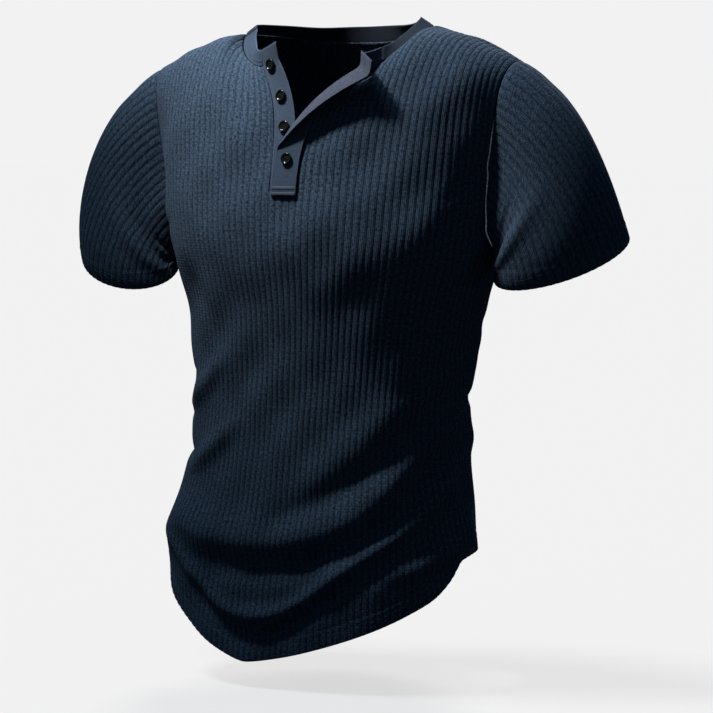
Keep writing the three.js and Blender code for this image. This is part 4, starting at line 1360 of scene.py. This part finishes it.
@dataclass
class Placket:
    """Open placket: a band of buttons and a buttonhole band turned back along its roll line."""

    form: BodyForm
    button_cut: Cut
    buttonhole_cut: Cut
    band_height: float = 17.0
    wall: float = 1.6
    button_width: float = 27.0
    buttonhole_width: float = 29.0
    lift: float = 2.8
    lap: float = 0.7
    foot: float = 5.0
    roll_start: float = -140.0
    roll_radius: float = 1.8
    flap_low: tuple[float, float, float] = (0.55, -0.8, -0.25)
    flap_high: tuple[float, float, float] = (0.74, -0.53, -0.41)
    roll_full_within: float = 12.0
    roll_narrowing: float = 1.9
    corner_ease: float = 2.2
    steps: int = 90
    column_pitch: float = 0.85
    stitch_margin: float = 3.2
    hole_levels: tuple[float, ...] = (-50.0, -82.0, -113.0)
    hole_length: float = 15.0
    grids: dict[str, Grid] = field(default_factory=dict)
    seams: list[SeamLine] = field(default_factory=list)
    tacks: list[SeamLine] = field(default_factory=list)
    holes: list[SeamLine] = field(default_factory=list)
    slits: list[SeamLine] = field(default_factory=list)

    def columns(self, width: float) -> Grid:
        """Places across a band, closer together at its edges."""
        edge = np.array([0, 0.2, 0.7])
        inside = np.linspace(1.4, width - 1.4, round((width - 2.8) / self.column_pitch) + 1)
        return np.concatenate([edge, inside, width - edge[::-1]])

    def slit_edge(self, corners: Corners) -> Grid:
        """Edge that a band is sewn to: the slit and the neckband's end above it."""
        reach = np.linspace(0, 1, 60)
        points = self.form.above_chest(corners.side * PLACKET_RIB + 0 * reach, reach, Facing.FRONT)
        top = points[-1] + band_rise(points[-1]) * self.band_height
        return np.concatenate([points, top[None]])

    def button_band(self) -> Grid:
        """Middle surface of the band of buttons, which stands forward towards its top."""
        t = np.linspace(0, 1, self.steps + 1)
        seam = spread(self.slit_edge(RIGHT), t)
        across = unit(np.stack([1 + 0 * t, -0.3 * t ** 2 - 0.2 * t ** 4, 0.35 * t ** 3], axis=-1))
        foot = seam + np.array([0, self.wall / 2, 0])
        foot[0, 2] += SEAM_GAP
        place = 2 * SEAM_GAP + self.columns(self.button_width - 2 * SEAM_GAP)
        return foot[:, None] + across[:, None] * place[None, :, None]

    def buttonhole_band(self) -> Grid:
        """Middle surface of the buttonhole band: flat at its foot, turned back above."""
        edge = self.slit_edge(LEFT)
        line = np.concatenate([edge[:1] - np.array([[0, 0, self.foot]]), edge])
        share = np.linspace(0, 1, self.steps + 1)
        seam = eased(spread(line, share), self.corner_ease)
        t = np.clip((seam[:, 2] - self.roll_start) / (seam[-1, 2] - self.roll_start), 0, 1)
        turned = smooth(seam[:, 2] - self.roll_start, 0, self.roll_full_within)
        along = unit(np.gradient(seam, axis=0))
        across = unit(np.stack([lerp(-1, -0.8, t), 0.1 * t, 0.55 * t], axis=-1))
        facing = unit(np.cross(across, along))
        facing *= -np.sign(facing[:, 1:2])
        flat = (self.buttonhole_width * (1 - t) ** self.roll_narrowing + self.lap)[:, None]
        flap = unit(lerp(np.array(self.flap_low), np.array(self.flap_high), t[:, None]))
        lift = flap - across * np.sum(flap * across, axis=1, keepdims=True)
        angle = np.arccos(np.sum(flap * across, axis=1)) * turned
        rise = unit(lerp(facing, unit(lift), turned[:, None]))
        angle = angle[:, None]
        origin = seam + facing * self.lift - across * self.lap
        whole = self.buttonhole_width + 2 * self.lap
        place = self.columns(whole)[None, :]
        past = np.maximum(place - flat, 0)
        bend = np.minimum(past / self.roll_radius, angle)
        rest = np.maximum(0, past - self.roll_radius * angle)
        rolled = (past > 0) & (turned[:, None] > 0)
        over = np.where(rolled, flat + self.roll_radius * np.sin(bend) + rest * np.cos(angle), place)
        up = np.where(rolled, self.roll_radius * (1 - np.cos(bend)) + rest * np.sin(angle), 0)
        return origin[:, None] + across[:, None] * over[..., None] + rise[:, None] * up[..., None]

    def band(self, name: str, grid: Grid, cut: Cut, node: str, material: bpy.types.Material) -> Wall:
        """Finished band with rounded edges and a groove under each row of stitches.

        Args:
            name: name of the piece.
            grid: its middle surface.
            cut: its flat size, not used.
            node: CAD node that it stands for.
            material: its finish.

        Returns:
            The wall of the band.
        """
        out = grid_out(grid)
        place = np.concatenate([[0], np.cumsum(np.linalg.norm(np.diff(grid[0], axis=0), axis=1))])
        out *= -np.sign(out[0, len(place) // 2, 1])
        end = np.minimum(place, place[-1] - place)
        relief = -0.35 * np.exp(-((end - self.stitch_margin) / 0.6) ** 2)
        thickness = (self.wall * edge_roundness(end, 0.8) + relief)[None, :] + 0 * grid[..., 0]
        length = np.linalg.norm(np.diff(grid[:, 0], axis=0), axis=1).sum()
        rows = np.linspace(0, length, grid.shape[0])[:, None]
        # Painted highlight: the knit is drawn lighter along both long edges of the band.
        edge_lightening = smooth(end, 0, 1.4)[None, :]
        wall = plain_wall(grid, out, thickness, place[None, :] / RIB_PITCH, rows, edge_lightening)
        piece = plain_piece(wall, name, material)
        dress(piece, node)
        for column in (int(np.argmin(np.abs(place - self.stitch_margin))),
                       int(np.argmin(np.abs(place[-1] - self.stitch_margin - place)))):
            self.seams.append(wall.column_line(column))
            self.seams.append(wall.column_line(column, turned=True))
        return wall

    def buttonhole(self, wall: Wall, level: float) -> None:
        """Edges and slit of one buttonhole, along the middle of a band and through it. The slit line is later sewn
        with near-black stitches, a painted shade in the cut.

        Args:
            wall: wall of the band.
            level: height of the middle of the hole.
        """
        middle = wall.outer.shape[1] // 2
        heights = wall.outer[:, middle, 2]
        centre = int(np.argmin(np.abs(heights - level)))
        step = np.linalg.norm(wall.outer[centre + 1, middle] - wall.outer[centre, middle])
        half = round(self.hole_length / 2 / step)
        rows = slice(centre - half, centre + half + 1)
        for turned in (False, True):
            for column, target in ((middle - 1, self.holes), (middle + 1, self.holes), (middle, self.slits)):
                line = wall.column_line(column, turned, 0.05)
                target.append(SeamLine(line.points[rows], line.out[rows]))

    def build(self, material: bpy.types.Material) -> None:
        """Makes both bands and keeps the lines that their stitches follow."""
        self.grids = {"button": self.button_band(), "buttonhole": self.buttonhole_band()}
        self.band("placket_under", self.grids["button"], self.button_cut, "button_band", material)
        over = self.band("placket_over", self.grids["buttonhole"], self.buttonhole_cut, "buttonhole_band",
                         material)
        for row in (1, 4):
            line = over.row_line(row)
            self.tacks.append(SeamLine(line.points[3:-3], line.out[3:-3]))
        for level in self.hole_levels:
            self.buttonhole(over, level)


@dataclass
class Buttons:
    """Four-hole buttons with a raised rim and a sunken middle, sewn on with thread."""

    radius: float = 6.5
    gap: float = 0.5
    band_wall: float = 1.6
    hole_radius: float = 0.75
    hole_place: float = 1.3
    dish_level: float = 1.85
    sides: int = 56
    hole_sides: int = 16
    open_levels: tuple[float, ...] = (-45.0, -79.0, -112.0)
    fastened_level: float = -146.0
    turns: tuple[float, ...] = (20.0, 58.0, 8.0, 40.0)
    threads: list[SeamLine] = field(default_factory=list)

    def profile(self) -> Grid:
        """Half section from the middle of the back round the rim to the middle of the face."""
        r = self.radius
        dish = self.dish_level
        return np.array([
            (0, 0), (r - 1.4, 0), (r - 0.7, 0.18), (r - 0.2, 0.7), (r, 1.4), (r - 0.12, 2.1), (r - 0.5, 2.7),
            (r - 0.95, 2.97), (r - 1.35, 2.93), (r - 1.7, 2.65), (r - 2.1, 2.2), (r - 2.6, dish + 0.08),
            (r - 3.4, dish), (0, dish)])

    @staticmethod
    def spun(profile: Grid, sides: int) -> tuple[Grid, list]:
        """Points and faces of a closed turned form whose profile starts and ends on the axis.

        Args:
            profile: half section, [point, radius and height].
            sides: number of flats round the form.

        Returns:
            The points and the faces as tuples of their numbers.
        """
        angle = np.linspace(0, 2 * np.pi, sides, endpoint=False)
        rings = profile[1:-1]
        round_points = np.stack([rings[:, :1] * np.cos(angle), rings[:, :1] * np.sin(angle),
                                 rings[:, 1:] + 0 * angle], axis=-1).reshape(-1, 3)
        points = np.concatenate([[[0, 0, profile[0, 1]]], round_points, [[0, 0, profile[-1, 1]]]])
        top = len(points) - 1
        faces = []
        for k in range(sides):
            n = (k + 1) % sides
            faces.append((0, 1 + n, 1 + k))
            for ring in range(len(rings) - 1):
                low, high = 1 + ring * sides, 1 + (ring + 1) * sides
                faces.append((low + k, low + n, high + n, high + k))
            last = 1 + (len(rings) - 1) * sides
            faces.append((last + k, last + n, top))
        return points, faces

    def disc(self) -> bpy.types.Mesh:
        """Mesh of one button, lying flat with its back at zero, with its holes cut through."""
        points, faces = self.spun(self.profile(), self.sides)
        body = bpy.data.meshes.new("button_form")
        body.from_pydata((points * MM).tolist(), [], faces)
        drill_points, drill_faces = [], []
        bore = np.array([(0, -1), (self.hole_radius, -1), (self.hole_radius, 4), (0, 4)], dtype=float)
        for x in (-self.hole_place, self.hole_place):
            for y in (-self.hole_place, self.hole_place):
                points, faces = self.spun(bore, self.hole_sides)
                first = len(drill_points)
                drill_points += (points + [x, y, 0]).tolist()
                drill_faces += [tuple(first + i for i in face) for face in faces]
        drills = bpy.data.meshes.new("button_drills")
        drills.from_pydata((np.array(drill_points) * MM).tolist(), [], drill_faces)
        blank = bpy.data.objects.new("button_blank", body)
        cutter = bpy.data.objects.new("button_cutter", drills)
        for piece in (blank, cutter):
            bpy.context.scene.collection.objects.link(piece)
        cut = blank.modifiers.new("holes", "BOOLEAN")
        cut.operation = "DIFFERENCE"
        cut.solver = "EXACT"
        cut.object = cutter
        graph = bpy.context.evaluated_depsgraph_get()
        graph.update()
        made = bpy.data.meshes.new_from_object(blank.evaluated_get(graph))
        for piece in (blank, cutter):
            bpy.data.objects.remove(piece)
        made.polygons.foreach_set("use_smooth", np.ones(len(made.polygons), dtype=bool))
        made.set_sharp_from_angle(angle=math.radians(42))
        return made

    @staticmethod
    def place(grid: Grid, level: float) -> tuple[Grid, Grid, Grid]:
        """Middle of a band at a height, with the ways out of it and across it.

        Args:
            grid: middle surface of the band, [row, column, xyz].
            level: height.

        Returns:
            Point, unit way out and unit way across.
        """
        rows = np.stack([spread(row, np.array([0.25, 0.5, 0.75])) for row in grid])
        heights = rows[:, 1, 2]
        r = int(np.clip(np.searchsorted(heights, level) - 1, 0, len(heights) - 2))
        low, high = rows[r], rows[r + 1]
        point = lerp(low[1], high[1], (level - low[1, 2]) / (high[1, 2] - low[1, 2]))
        across = unit(low[2] - low[0])
        out = unit(np.cross(across, high[1] - low[1]))
        return point, out * (-1 if out[1] > 0 else 1), across

    def build(self, placket: Placket, material: bpy.types.Material) -> None:
        """Makes the buttons and keeps the lines of their thread.

        Args:
            placket: placket whose bands carry the buttons.
            material: their resin.
        """
        disc = self.disc()
        disc.materials.append(material)
        spots = [("button", level) for level in self.open_levels] + [("buttonhole", self.fastened_level)]
        for number, (band, level) in enumerate(spots, start=1):
            point, out, across = self.place(placket.grids[band], level)
            turn = math.radians(self.turns[number - 1])
            side = np.cross(out, across)
            right = across * math.cos(turn) + side * math.sin(turn)
            up = np.cross(out, right)
            base = point + out * (self.band_wall / 2 + self.gap)
            rows = np.stack([right, up, out, base * MM], axis=1)
            mesh = disc.copy()
            mesh.transform(mathutils.Matrix([*rows.tolist(), [0, 0, 0, 1]]))
            piece = bpy.data.objects.new(f"button_{number}_disc", mesh)
            bpy.context.scene.collection.objects.link(piece)
            dress(piece, f"button_{number}")
            self.sew_lines(base, right, up, out)
        bpy.data.meshes.remove(disc)

    def sew_lines(self, base: Grid, right: Grid, up: Grid, out: Grid) -> None:
        """Adds the two bars of thread that hold one button."""
        share = np.linspace(-1, 1, 7)[:, None]
        sag = 0.25 - 0.35 * share ** 4
        for row in (-1, 1):
            points = (base + out * (self.dish_level + sag) + up * row * self.hole_place
                      + right * share * self.hole_place)
            self.threads.append(SeamLine(points, np.broadcast_to(out, points.shape)))


# Finishes

class KnitGroup:
    """Shader group of a knit's stitches, read from the cloth's own UV map."""

    def __init__(self) -> None:
        """Builds the group once for every knit."""
        tree = bpy.data.node_groups.new("Knit stitches", "ShaderNodeTree")
        for label in ("Wales", "Courses"):
            tree.interface.new_socket(label, in_out="INPUT", socket_type="NodeSocketFloat")
        for label in ("Height", "Grain", "Cloud"):
            tree.interface.new_socket(label, in_out="OUTPUT", socket_type="NodeSocketFloat")
        kit = NodeKit(tree)
        start = kit.add("NodeGroupInput")
        end = kit.add("NodeGroupOutput")
        weave = kit.add("ShaderNodeUVMap", uv_map="Knit").outputs[0]
        parts = kit.add("ShaderNodeSeparateXYZ")
        kit.feed(parts.inputs[0], weave)
        wale = kit.math("FRACT", kit.math("MULTIPLY", parts.outputs[0], start.outputs["Wales"]))
        lean = kit.math("MULTIPLY", kit.math("ABSOLUTE", kit.math("SUBTRACT", wale, 0.5)), 2.0)
        course = kit.math("ADD", kit.math("MULTIPLY", parts.outputs[1], start.outputs["Courses"]),
                          kit.math("MULTIPLY", lean, 0.5))
        loop = kit.math("SINE", kit.math("MULTIPLY", kit.math("FRACT", course), math.pi))
        gap = kit.math("SUBTRACT", 1.0, kit.math("POWER", lean, 3.0))
        kit.feed(end.inputs["Height"], kit.math("MULTIPLY", kit.math("POWER", loop, 0.5), gap))
        kit.feed(end.inputs["Grain"], kit.noise(kit.scaled(weave, (3.0, 2.6, 1.0)), 1.0, 3.0))
        kit.feed(end.inputs["Cloud"], kit.noise(kit.scaled(weave, (0.35, 0.25, 1.0)), 1.0, 3.0))
        self.tree = tree

    def placed(self, kit: NodeKit, wales: float, courses: float) -> bpy.types.Node:
        """The group in a material, with its own gauge."""
        node = kit.add("ShaderNodeGroup", node_tree=self.tree)
        node.inputs["Wales"].default_value = wales
        node.inputs["Courses"].default_value = courses
        return node


def new_material(name: str) -> tuple[bpy.types.Material, NodeKit, bpy.types.Node]:
    """Empty material with its node kit and its shader."""
    made = bpy.data.materials.new(name)
    made.use_nodes = True
    return made, NodeKit(made.node_tree), made.node_tree.nodes["Principled BSDF"]


@dataclass(frozen=True)
class Knit:
    """Finish of a knit cloth, ribbed or plain.

    Attributes:
        name: name of the material.
        crest, groove: colours on a rib and between ribs, the darker groove colour being painted shade
        in the hollows between ribs; a plain knit uses the first alone.
        reverse: colour of the cloth's other side; on the neckband it is painted shade, much darker than
        its face, on the side that faces the neck.
        edge_lightening: brightness of its edges and seams against the rest; on the neckband and the
        placket bands it is a painted highlight along their edges.
        wales, courses: stitches in the width of a rib, across and along.
        grain: how far single stitches differ in brightness.
        ribbed: true for rib knit.
    """

    name: str
    crest: tuple[float, float, float]
    groove: tuple[float, float, float]
    reverse: tuple[float, float, float]
    edge_lightening: float
    wales: float
    courses: float
    grain: float
    ribbed: bool

    def material(self, knit: KnitGroup) -> bpy.types.Material:
        """Material of the knit.

        Args:
            knit: shader group of the stitches.

        Returns:
            The material.
        """
        made, kit, shader = new_material(self.name)
        stitches = knit.placed(kit, self.wales, self.courses)
        colour = (*self.crest, 1)
        if self.ribbed:
            # painted shade: the darker groove colour fills the hollows between the ribs
            colour = kit.tint(kit.crest(kit.attribute("rib")), (*self.groove, 1), (*self.crest, 1))
        # the reverse colour goes on the inner side; the neckband's dark reverse is painted shade there
        colour = kit.tint(kit.attribute("outside"), (*self.reverse, 1), colour)
        grain = kit.ranged(stitches.outputs["Grain"], 1 - self.grain, 1 + self.grain)
        cloud = kit.ranged(stitches.outputs["Cloud"], 0.88, 1.12)
        # edges and seams are drawn lighter where the fade is low; along the bands' edges this is a painted highlight
        edge = kit.ranged(kit.attribute("fade"), self.edge_lightening, 1.0)
        # painted light and shade of the stitch loops: the colour is lighter on each loop and darker between them
        loops = kit.ranged(stitches.outputs["Height"], 0.72, 1.14)
        shade = kit.math("MULTIPLY", kit.math("MULTIPLY", grain, cloud), kit.math("MULTIPLY", edge, loops))
        grey = kit.add("ShaderNodeCombineColor")
        for part in ("Red", "Green", "Blue"):
            kit.feed(grey.inputs[part], shade)
        kit.feed(shader.inputs["Base Color"], kit.tint(1.0, colour, grey.outputs[0], "MULTIPLY"))
        kit.feed(shader.inputs["Roughness"], kit.ranged(stitches.outputs["Grain"], 0.8, 0.98))
        shader.inputs["Specular IOR Level"].default_value = 0.12
        shader.inputs["Sheen Weight"].default_value = 0.07
        shader.inputs["Sheen Roughness"].default_value = 0.55
        shader.inputs["Sheen Tint"].default_value = (0.7, 0.8, 1.0, 1)
        bump = kit.add("ShaderNodeBump")
        bump.inputs["Strength"].default_value = 0.8
        bump.inputs["Distance"].default_value = 0.0005
        rough = kit.math("MULTIPLY", stitches.outputs["Grain"], 1.1)
        relief = kit.math("ADD", stitches.outputs["Height"], rough)
        kit.feed(bump.inputs["Height"], relief)
        kit.feed(shader.inputs["Normal"], bump.outputs[0])
        return made


@dataclass(frozen=True)
class Twist:
    """Finish of sewing thread, with the light and dark of its twisted plies."""

    name: str
    colour: tuple[float, float, float]
    plies_per_metre: float = 900.0

    def material(self) -> bpy.types.Material:
        """Material of the thread."""
        made, kit, shader = new_material(self.name)
        place = kit.add("ShaderNodeTexCoord").outputs["Object"]
        cloud = kit.noise(place, self.plies_per_metre, 1.0)
        dark = tuple(0.6 * c for c in self.colour)
        light = tuple(min(1.0, 1.35 * c) for c in self.colour)
        kit.feed(shader.inputs["Base Color"], kit.tint(cloud, (*dark, 1), (*light, 1)))
        kit.feed(shader.inputs["Roughness"], kit.ranged(cloud, 0.55, 0.75))
        bump = kit.add("ShaderNodeBump")
        bump.inputs["Strength"].default_value = 0.6
        bump.inputs["Distance"].default_value = 0.0002
        kit.feed(bump.inputs["Height"], cloud)
        kit.feed(shader.inputs["Normal"], bump.outputs[0])
        return made


@dataclass(frozen=True)
class PolishedResin:
    """Finish of the buttons: near black with a faint olive marbling and fine wear."""

    name: str
    dark: tuple[float, float, float]
    light: tuple[float, float, float]

    def material(self) -> bpy.types.Material:
        """Material of the buttons."""
        made, kit, shader = new_material(self.name)
        place = kit.add("ShaderNodeTexCoord").outputs["Object"]
        marble = kit.noise(place, 260.0, 4.0)
        kit.feed(shader.inputs["Base Color"], kit.tint(marble, (*self.dark, 1), (*self.light, 1)))
        kit.feed(shader.inputs["Roughness"], kit.ranged(kit.noise(place, 900.0, 3.0), 0.12, 0.24))
        shader.inputs["Specular IOR Level"].default_value = 0.35
        shader.inputs["Coat Weight"].default_value = 0.15
        shader.inputs["Coat Roughness"].default_value = 0.12
        bump = kit.add("ShaderNodeBump")
        bump.inputs["Strength"].default_value = 0.25
        bump.inputs["Distance"].default_value = 0.0001
        kit.feed(bump.inputs["Height"], kit.noise(place, 1500.0, 2.0))
        kit.feed(shader.inputs["Normal"], bump.outputs[0])
        return made


# Studio

@dataclass
class Studio:
    """Pale floor and backdrop, soft lights and the camera."""

    azimuth: float = 28.0
    elevation: float = 4.0
    distance: float = 3200.0
    target_height: float = -350.0
    millimetres_per_pixel: float = 1.10
    image_pixels: float = 713.0
    axis_pixel: tuple[float, float] = (338.0, 343.8)
    paleness: float = 0.888
    fill: float = 0.05
    fill_tone: tuple[float, float, float] = (0.55, 1.0, 1.5)
    floor_level: float = -0.715
    floor_reach: float = 60.0
    floor_glow: float = 0.672
    floor_albedo: tuple[float, float, float] = (0.49, 0.39, 0.34)
    spot_power: float = 114.0
    spot_angle: float = 28.0
    spot_radius: float = 0.08
    spot_place: tuple[float, float, float] = (-0.42, -0.52, 1.0)
    spot_aim: tuple[float, float, float] = (-0.045, -0.035, 0.01)

    def back(self) -> Grid:
        """Way from the target to the camera."""
        a = math.radians(self.azimuth)
        e = math.radians(self.elevation)
        return np.array([math.sin(a) * math.cos(e), -math.cos(a) * math.cos(e), math.sin(e)])

    def camera(self) -> bpy.types.Object:
        """Camera at the photograph's angle and framing."""
        data = bpy.data.cameras.new("camera")
        data.sensor_width = 36.0
        frame_width = self.image_pixels * self.millimetres_per_pixel
        data.lens = data.sensor_width * self.distance / frame_width
        middle = (self.image_pixels - 1) / 2
        data.shift_x = (middle - self.axis_pixel[0]) / self.image_pixels
        data.shift_y = (self.axis_pixel[1] - middle) / self.image_pixels
        data.clip_end = 100
        piece = bpy.data.objects.new("camera", data)
        bpy.context.scene.collection.objects.link(piece)
        back = self.back()
        right = unit(np.cross([0, 0, 1], back))
        up = np.cross(back, right)
        place = (np.array([0, 0, self.target_height]) + back * self.distance) * MM
        rows = np.stack([right, up, back, place], axis=1)
        piece.matrix_world = mathutils.Matrix([*rows.tolist(), [0, 0, 0, 1]])
        bpy.context.scene.camera = piece
        return piece

    @staticmethod
    def sun(name: str, azimuth: float, elevation: float, angle: float, strength: float,
            tone: tuple[float, float, float]) -> None:
        """Even light from far away.

        Args:
            name: name of the light.
            azimuth, elevation: the way it comes from, in degrees.
            angle: its softness in degrees.
            strength: its strength.
            tone: its colour.
        """
        data = bpy.data.lights.new(name, "SUN")
        data.energy = strength
        data.color = tone
        data.angle = math.radians(angle)
        piece = bpy.data.objects.new(name, data)
        bpy.context.scene.collection.objects.link(piece)
        a = math.radians(azimuth)
        e = math.radians(elevation)
        towards = mathutils.Vector((math.sin(a) * math.cos(e), -math.cos(a) * math.cos(e), math.sin(e)))
        piece.rotation_euler = towards.to_track_quat("Z", "Y").to_euler()

    def chest_spot(self, floor: bpy.types.Object) -> None:
        """Soft-edged spot from the same side as the key, on the chest and shoulders.

        Args:
            floor: floor, which the spot leaves dark.
        """
        data = bpy.data.lights.new("chest spot", "SPOT")
        data.energy = self.spot_power
        data.spot_size = math.radians(self.spot_angle)
        data.spot_blend = 1.0
        data.shadow_soft_size = self.spot_radius
        piece = bpy.data.objects.new("chest spot", data)
        bpy.context.scene.collection.objects.link(piece)
        place = mathutils.Vector(self.spot_place)
        piece.location = place
        piece.rotation_euler = (place - mathutils.Vector(self.spot_aim)).to_track_quat("Z", "Y").to_euler()
        unlit = bpy.data.collections.new("unlit by the chest spot")
        unlit.objects.link(floor)
        unlit.collection_objects[0].light_linking.link_state = "EXCLUDE"
        piece.light_linking.receiver_collection = unlit

    def surround(self) -> None:
        """World that looks pale to the camera and gives the shirt a weak even fill."""
        world = bpy.data.worlds.new("studio")
        world.use_nodes = True
        kit = NodeKit(world.node_tree)
        seen = kit.add("ShaderNodeLightPath").outputs["Is Camera Ray"]
        light = world.node_tree.nodes["Background"]
        pale = (self.paleness, self.paleness, self.paleness, 1)
        fill = (*(self.fill * part for part in self.fill_tone), 1)
        kit.feed(light.inputs["Color"], kit.tint(seen, fill, pale))
        bpy.context.scene.world = world

    def floor(self) -> bpy.types.Object:
        """Pale floor just under the hem, which throws little light back at the cloth."""
        mesh = bpy.data.meshes.new("floor")
        reach = self.floor_reach
        z = self.floor_level
        mesh.from_pydata([(-reach, -reach, z), (reach, -reach, z), (reach, reach, z), (-reach, reach, z)],
                         [], [(0, 1, 2, 3)])
        piece = bpy.data.objects.new("floor", mesh)
        bpy.context.scene.collection.objects.link(piece)
        made, kit, shader = new_material("Pale floor")
        seen = kit.add("ShaderNodeLightPath").outputs["Is Camera Ray"]
        pale = (*self.floor_albedo, 1)
        kit.feed(shader.inputs["Base Color"], kit.tint(seen, (0.05, 0.05, 0.05, 1), pale))
        kit.feed(shader.inputs["Emission Color"], kit.tint(seen, (0, 0, 0, 1), (1, 1, 1, 1)))
        shader.inputs["Emission Strength"].default_value = self.floor_glow
        shader.inputs["Roughness"].default_value = 1.0
        shader.inputs["Specular IOR Level"].default_value = 0.0
        mesh.materials.append(made)
        return piece

    def build(self) -> None:
        """Camera, lights, floor and surround."""
        self.camera()
        self.sun("key", -64.0, 68.0, 16.0, 0.92, (0.76, 1.0, 1.18))
        self.sun("back light", 200.0, 35.0, 20.0, 1.2, (0.9, 1.0, 1.1))
        self.surround()
        self.chest_spot(self.floor())
        bpy.context.scene.view_settings.view_transform = "Standard"


def main() -> None:
    """Builds the shirt piece by piece, then the studio."""
    form = BodyForm()
    knit = KnitGroup()
    # The rib knit's darker groove colour is painted shade in the hollows between the ribs.
    rib_knit = Knit("Navy rib knit", (0.048, 0.078, 0.12), (0.021, 0.036, 0.06), (0.045, 0.06, 0.09),
                    1.2, 4, 2.7, 1.8, True).material(knit)
    # The neckband knit's dark reverse colour is painted shade on the side that faces the neck.
    # The neckband knit's strong edge lightening is a painted highlight along its top fold.
    neck_knit = Knit("Slate band knit", (0.044, 0.068, 0.105), (0.044, 0.068, 0.105), (0.02, 0.028, 0.042),
                     1.7, 6, 6, 0.3, False).material(knit)
    # The placket knit's edge lightening is a painted highlight along the edges of both bands.
    band_knit = Knit("Slate placket knit", (0.06, 0.088, 0.13), (0.06, 0.088, 0.13), (0.07, 0.08, 0.112),
                     1.5, 6, 6, 0.3, False).material(knit)
    rib_thread = Twist("Navy thread", (0.05, 0.075, 0.115)).material()
    plain_thread = Twist("Slate thread", (0.085, 0.11, 0.155)).material()
    # Near-black thread: real thread for the buttons, and painted shade where it marks the buttonhole slits.
    dark_thread_and_slit_shade = Twist("Dark thread and slit shade", (0.006, 0.008, 0.012)).material()
    resin = PolishedResin("Olive black resin", (0.0025, 0.003, 0.0025), (0.014, 0.017, 0.013)).material()
    ribs = RibTree()
    sewing = StitchTree()
    panels = [
        Panel(Facing.FRONT, form, Cut(0.512, 0.69, 0.30)),
        Panel(Facing.BACK, form, Cut(0.512, 0.69, 0.29)),
    ]
    sleeves = [
        Sleeve("left", LEFT, form, Cut(0.384, 0.22, 0.058), (259, 18, -253), 75, 50),
        Sleeve("right", RIGHT, form, Cut(0.384, 0.22, 0.063), (-272, 6, -263), 80, 50, outer_lift=16.0),
    ]
    for piece in panels + sleeves:
        piece.build(ribs, rib_knit)
    neckband = Neckband(form, Cut(0.56, 0.017, 0.0095))
    neckband.build(neck_knit)
    placket = Placket(form, Cut(0.027, 0.16, 0.0043), Cut(0.0304, 0.16, 0.0048))
    placket.build(band_knit)
    buttons = Buttons()
    buttons.build(placket, resin)
    hems = [line for piece in panels + sleeves for line in piece.seams]
    sewing.sew(hems, Thread(), "hem_stitches", rib_thread)
    sewing.sew(neckband.seams + placket.seams, Thread(2.6, 2.1, 0.5, seed=5), "band_stitches", plain_thread)
    sewing.sew(placket.tacks, Thread(0.55, 4.2, 0.7, 90, 7), "tack_bars", plain_thread)
    sewing.sew(placket.holes, Thread(0.5, 1.7, 0.5, 90, 9), "buttonhole_edges", plain_thread)
    # The near-black stitches along each buttonhole's slit are painted shade in the cut.
    sewing.sew(placket.slits, Thread(1.5, 2.6, 0.7, 0, 11), "buttonhole_slit_shade", dark_thread_and_slit_shade)
    sewing.sew(buttons.threads, Thread(0.6, 1.5, 0.5, 0, 13), "button_threads", dark_thread_and_slit_shade)
    Studio().build()


if __name__ == "__main__":
    main()
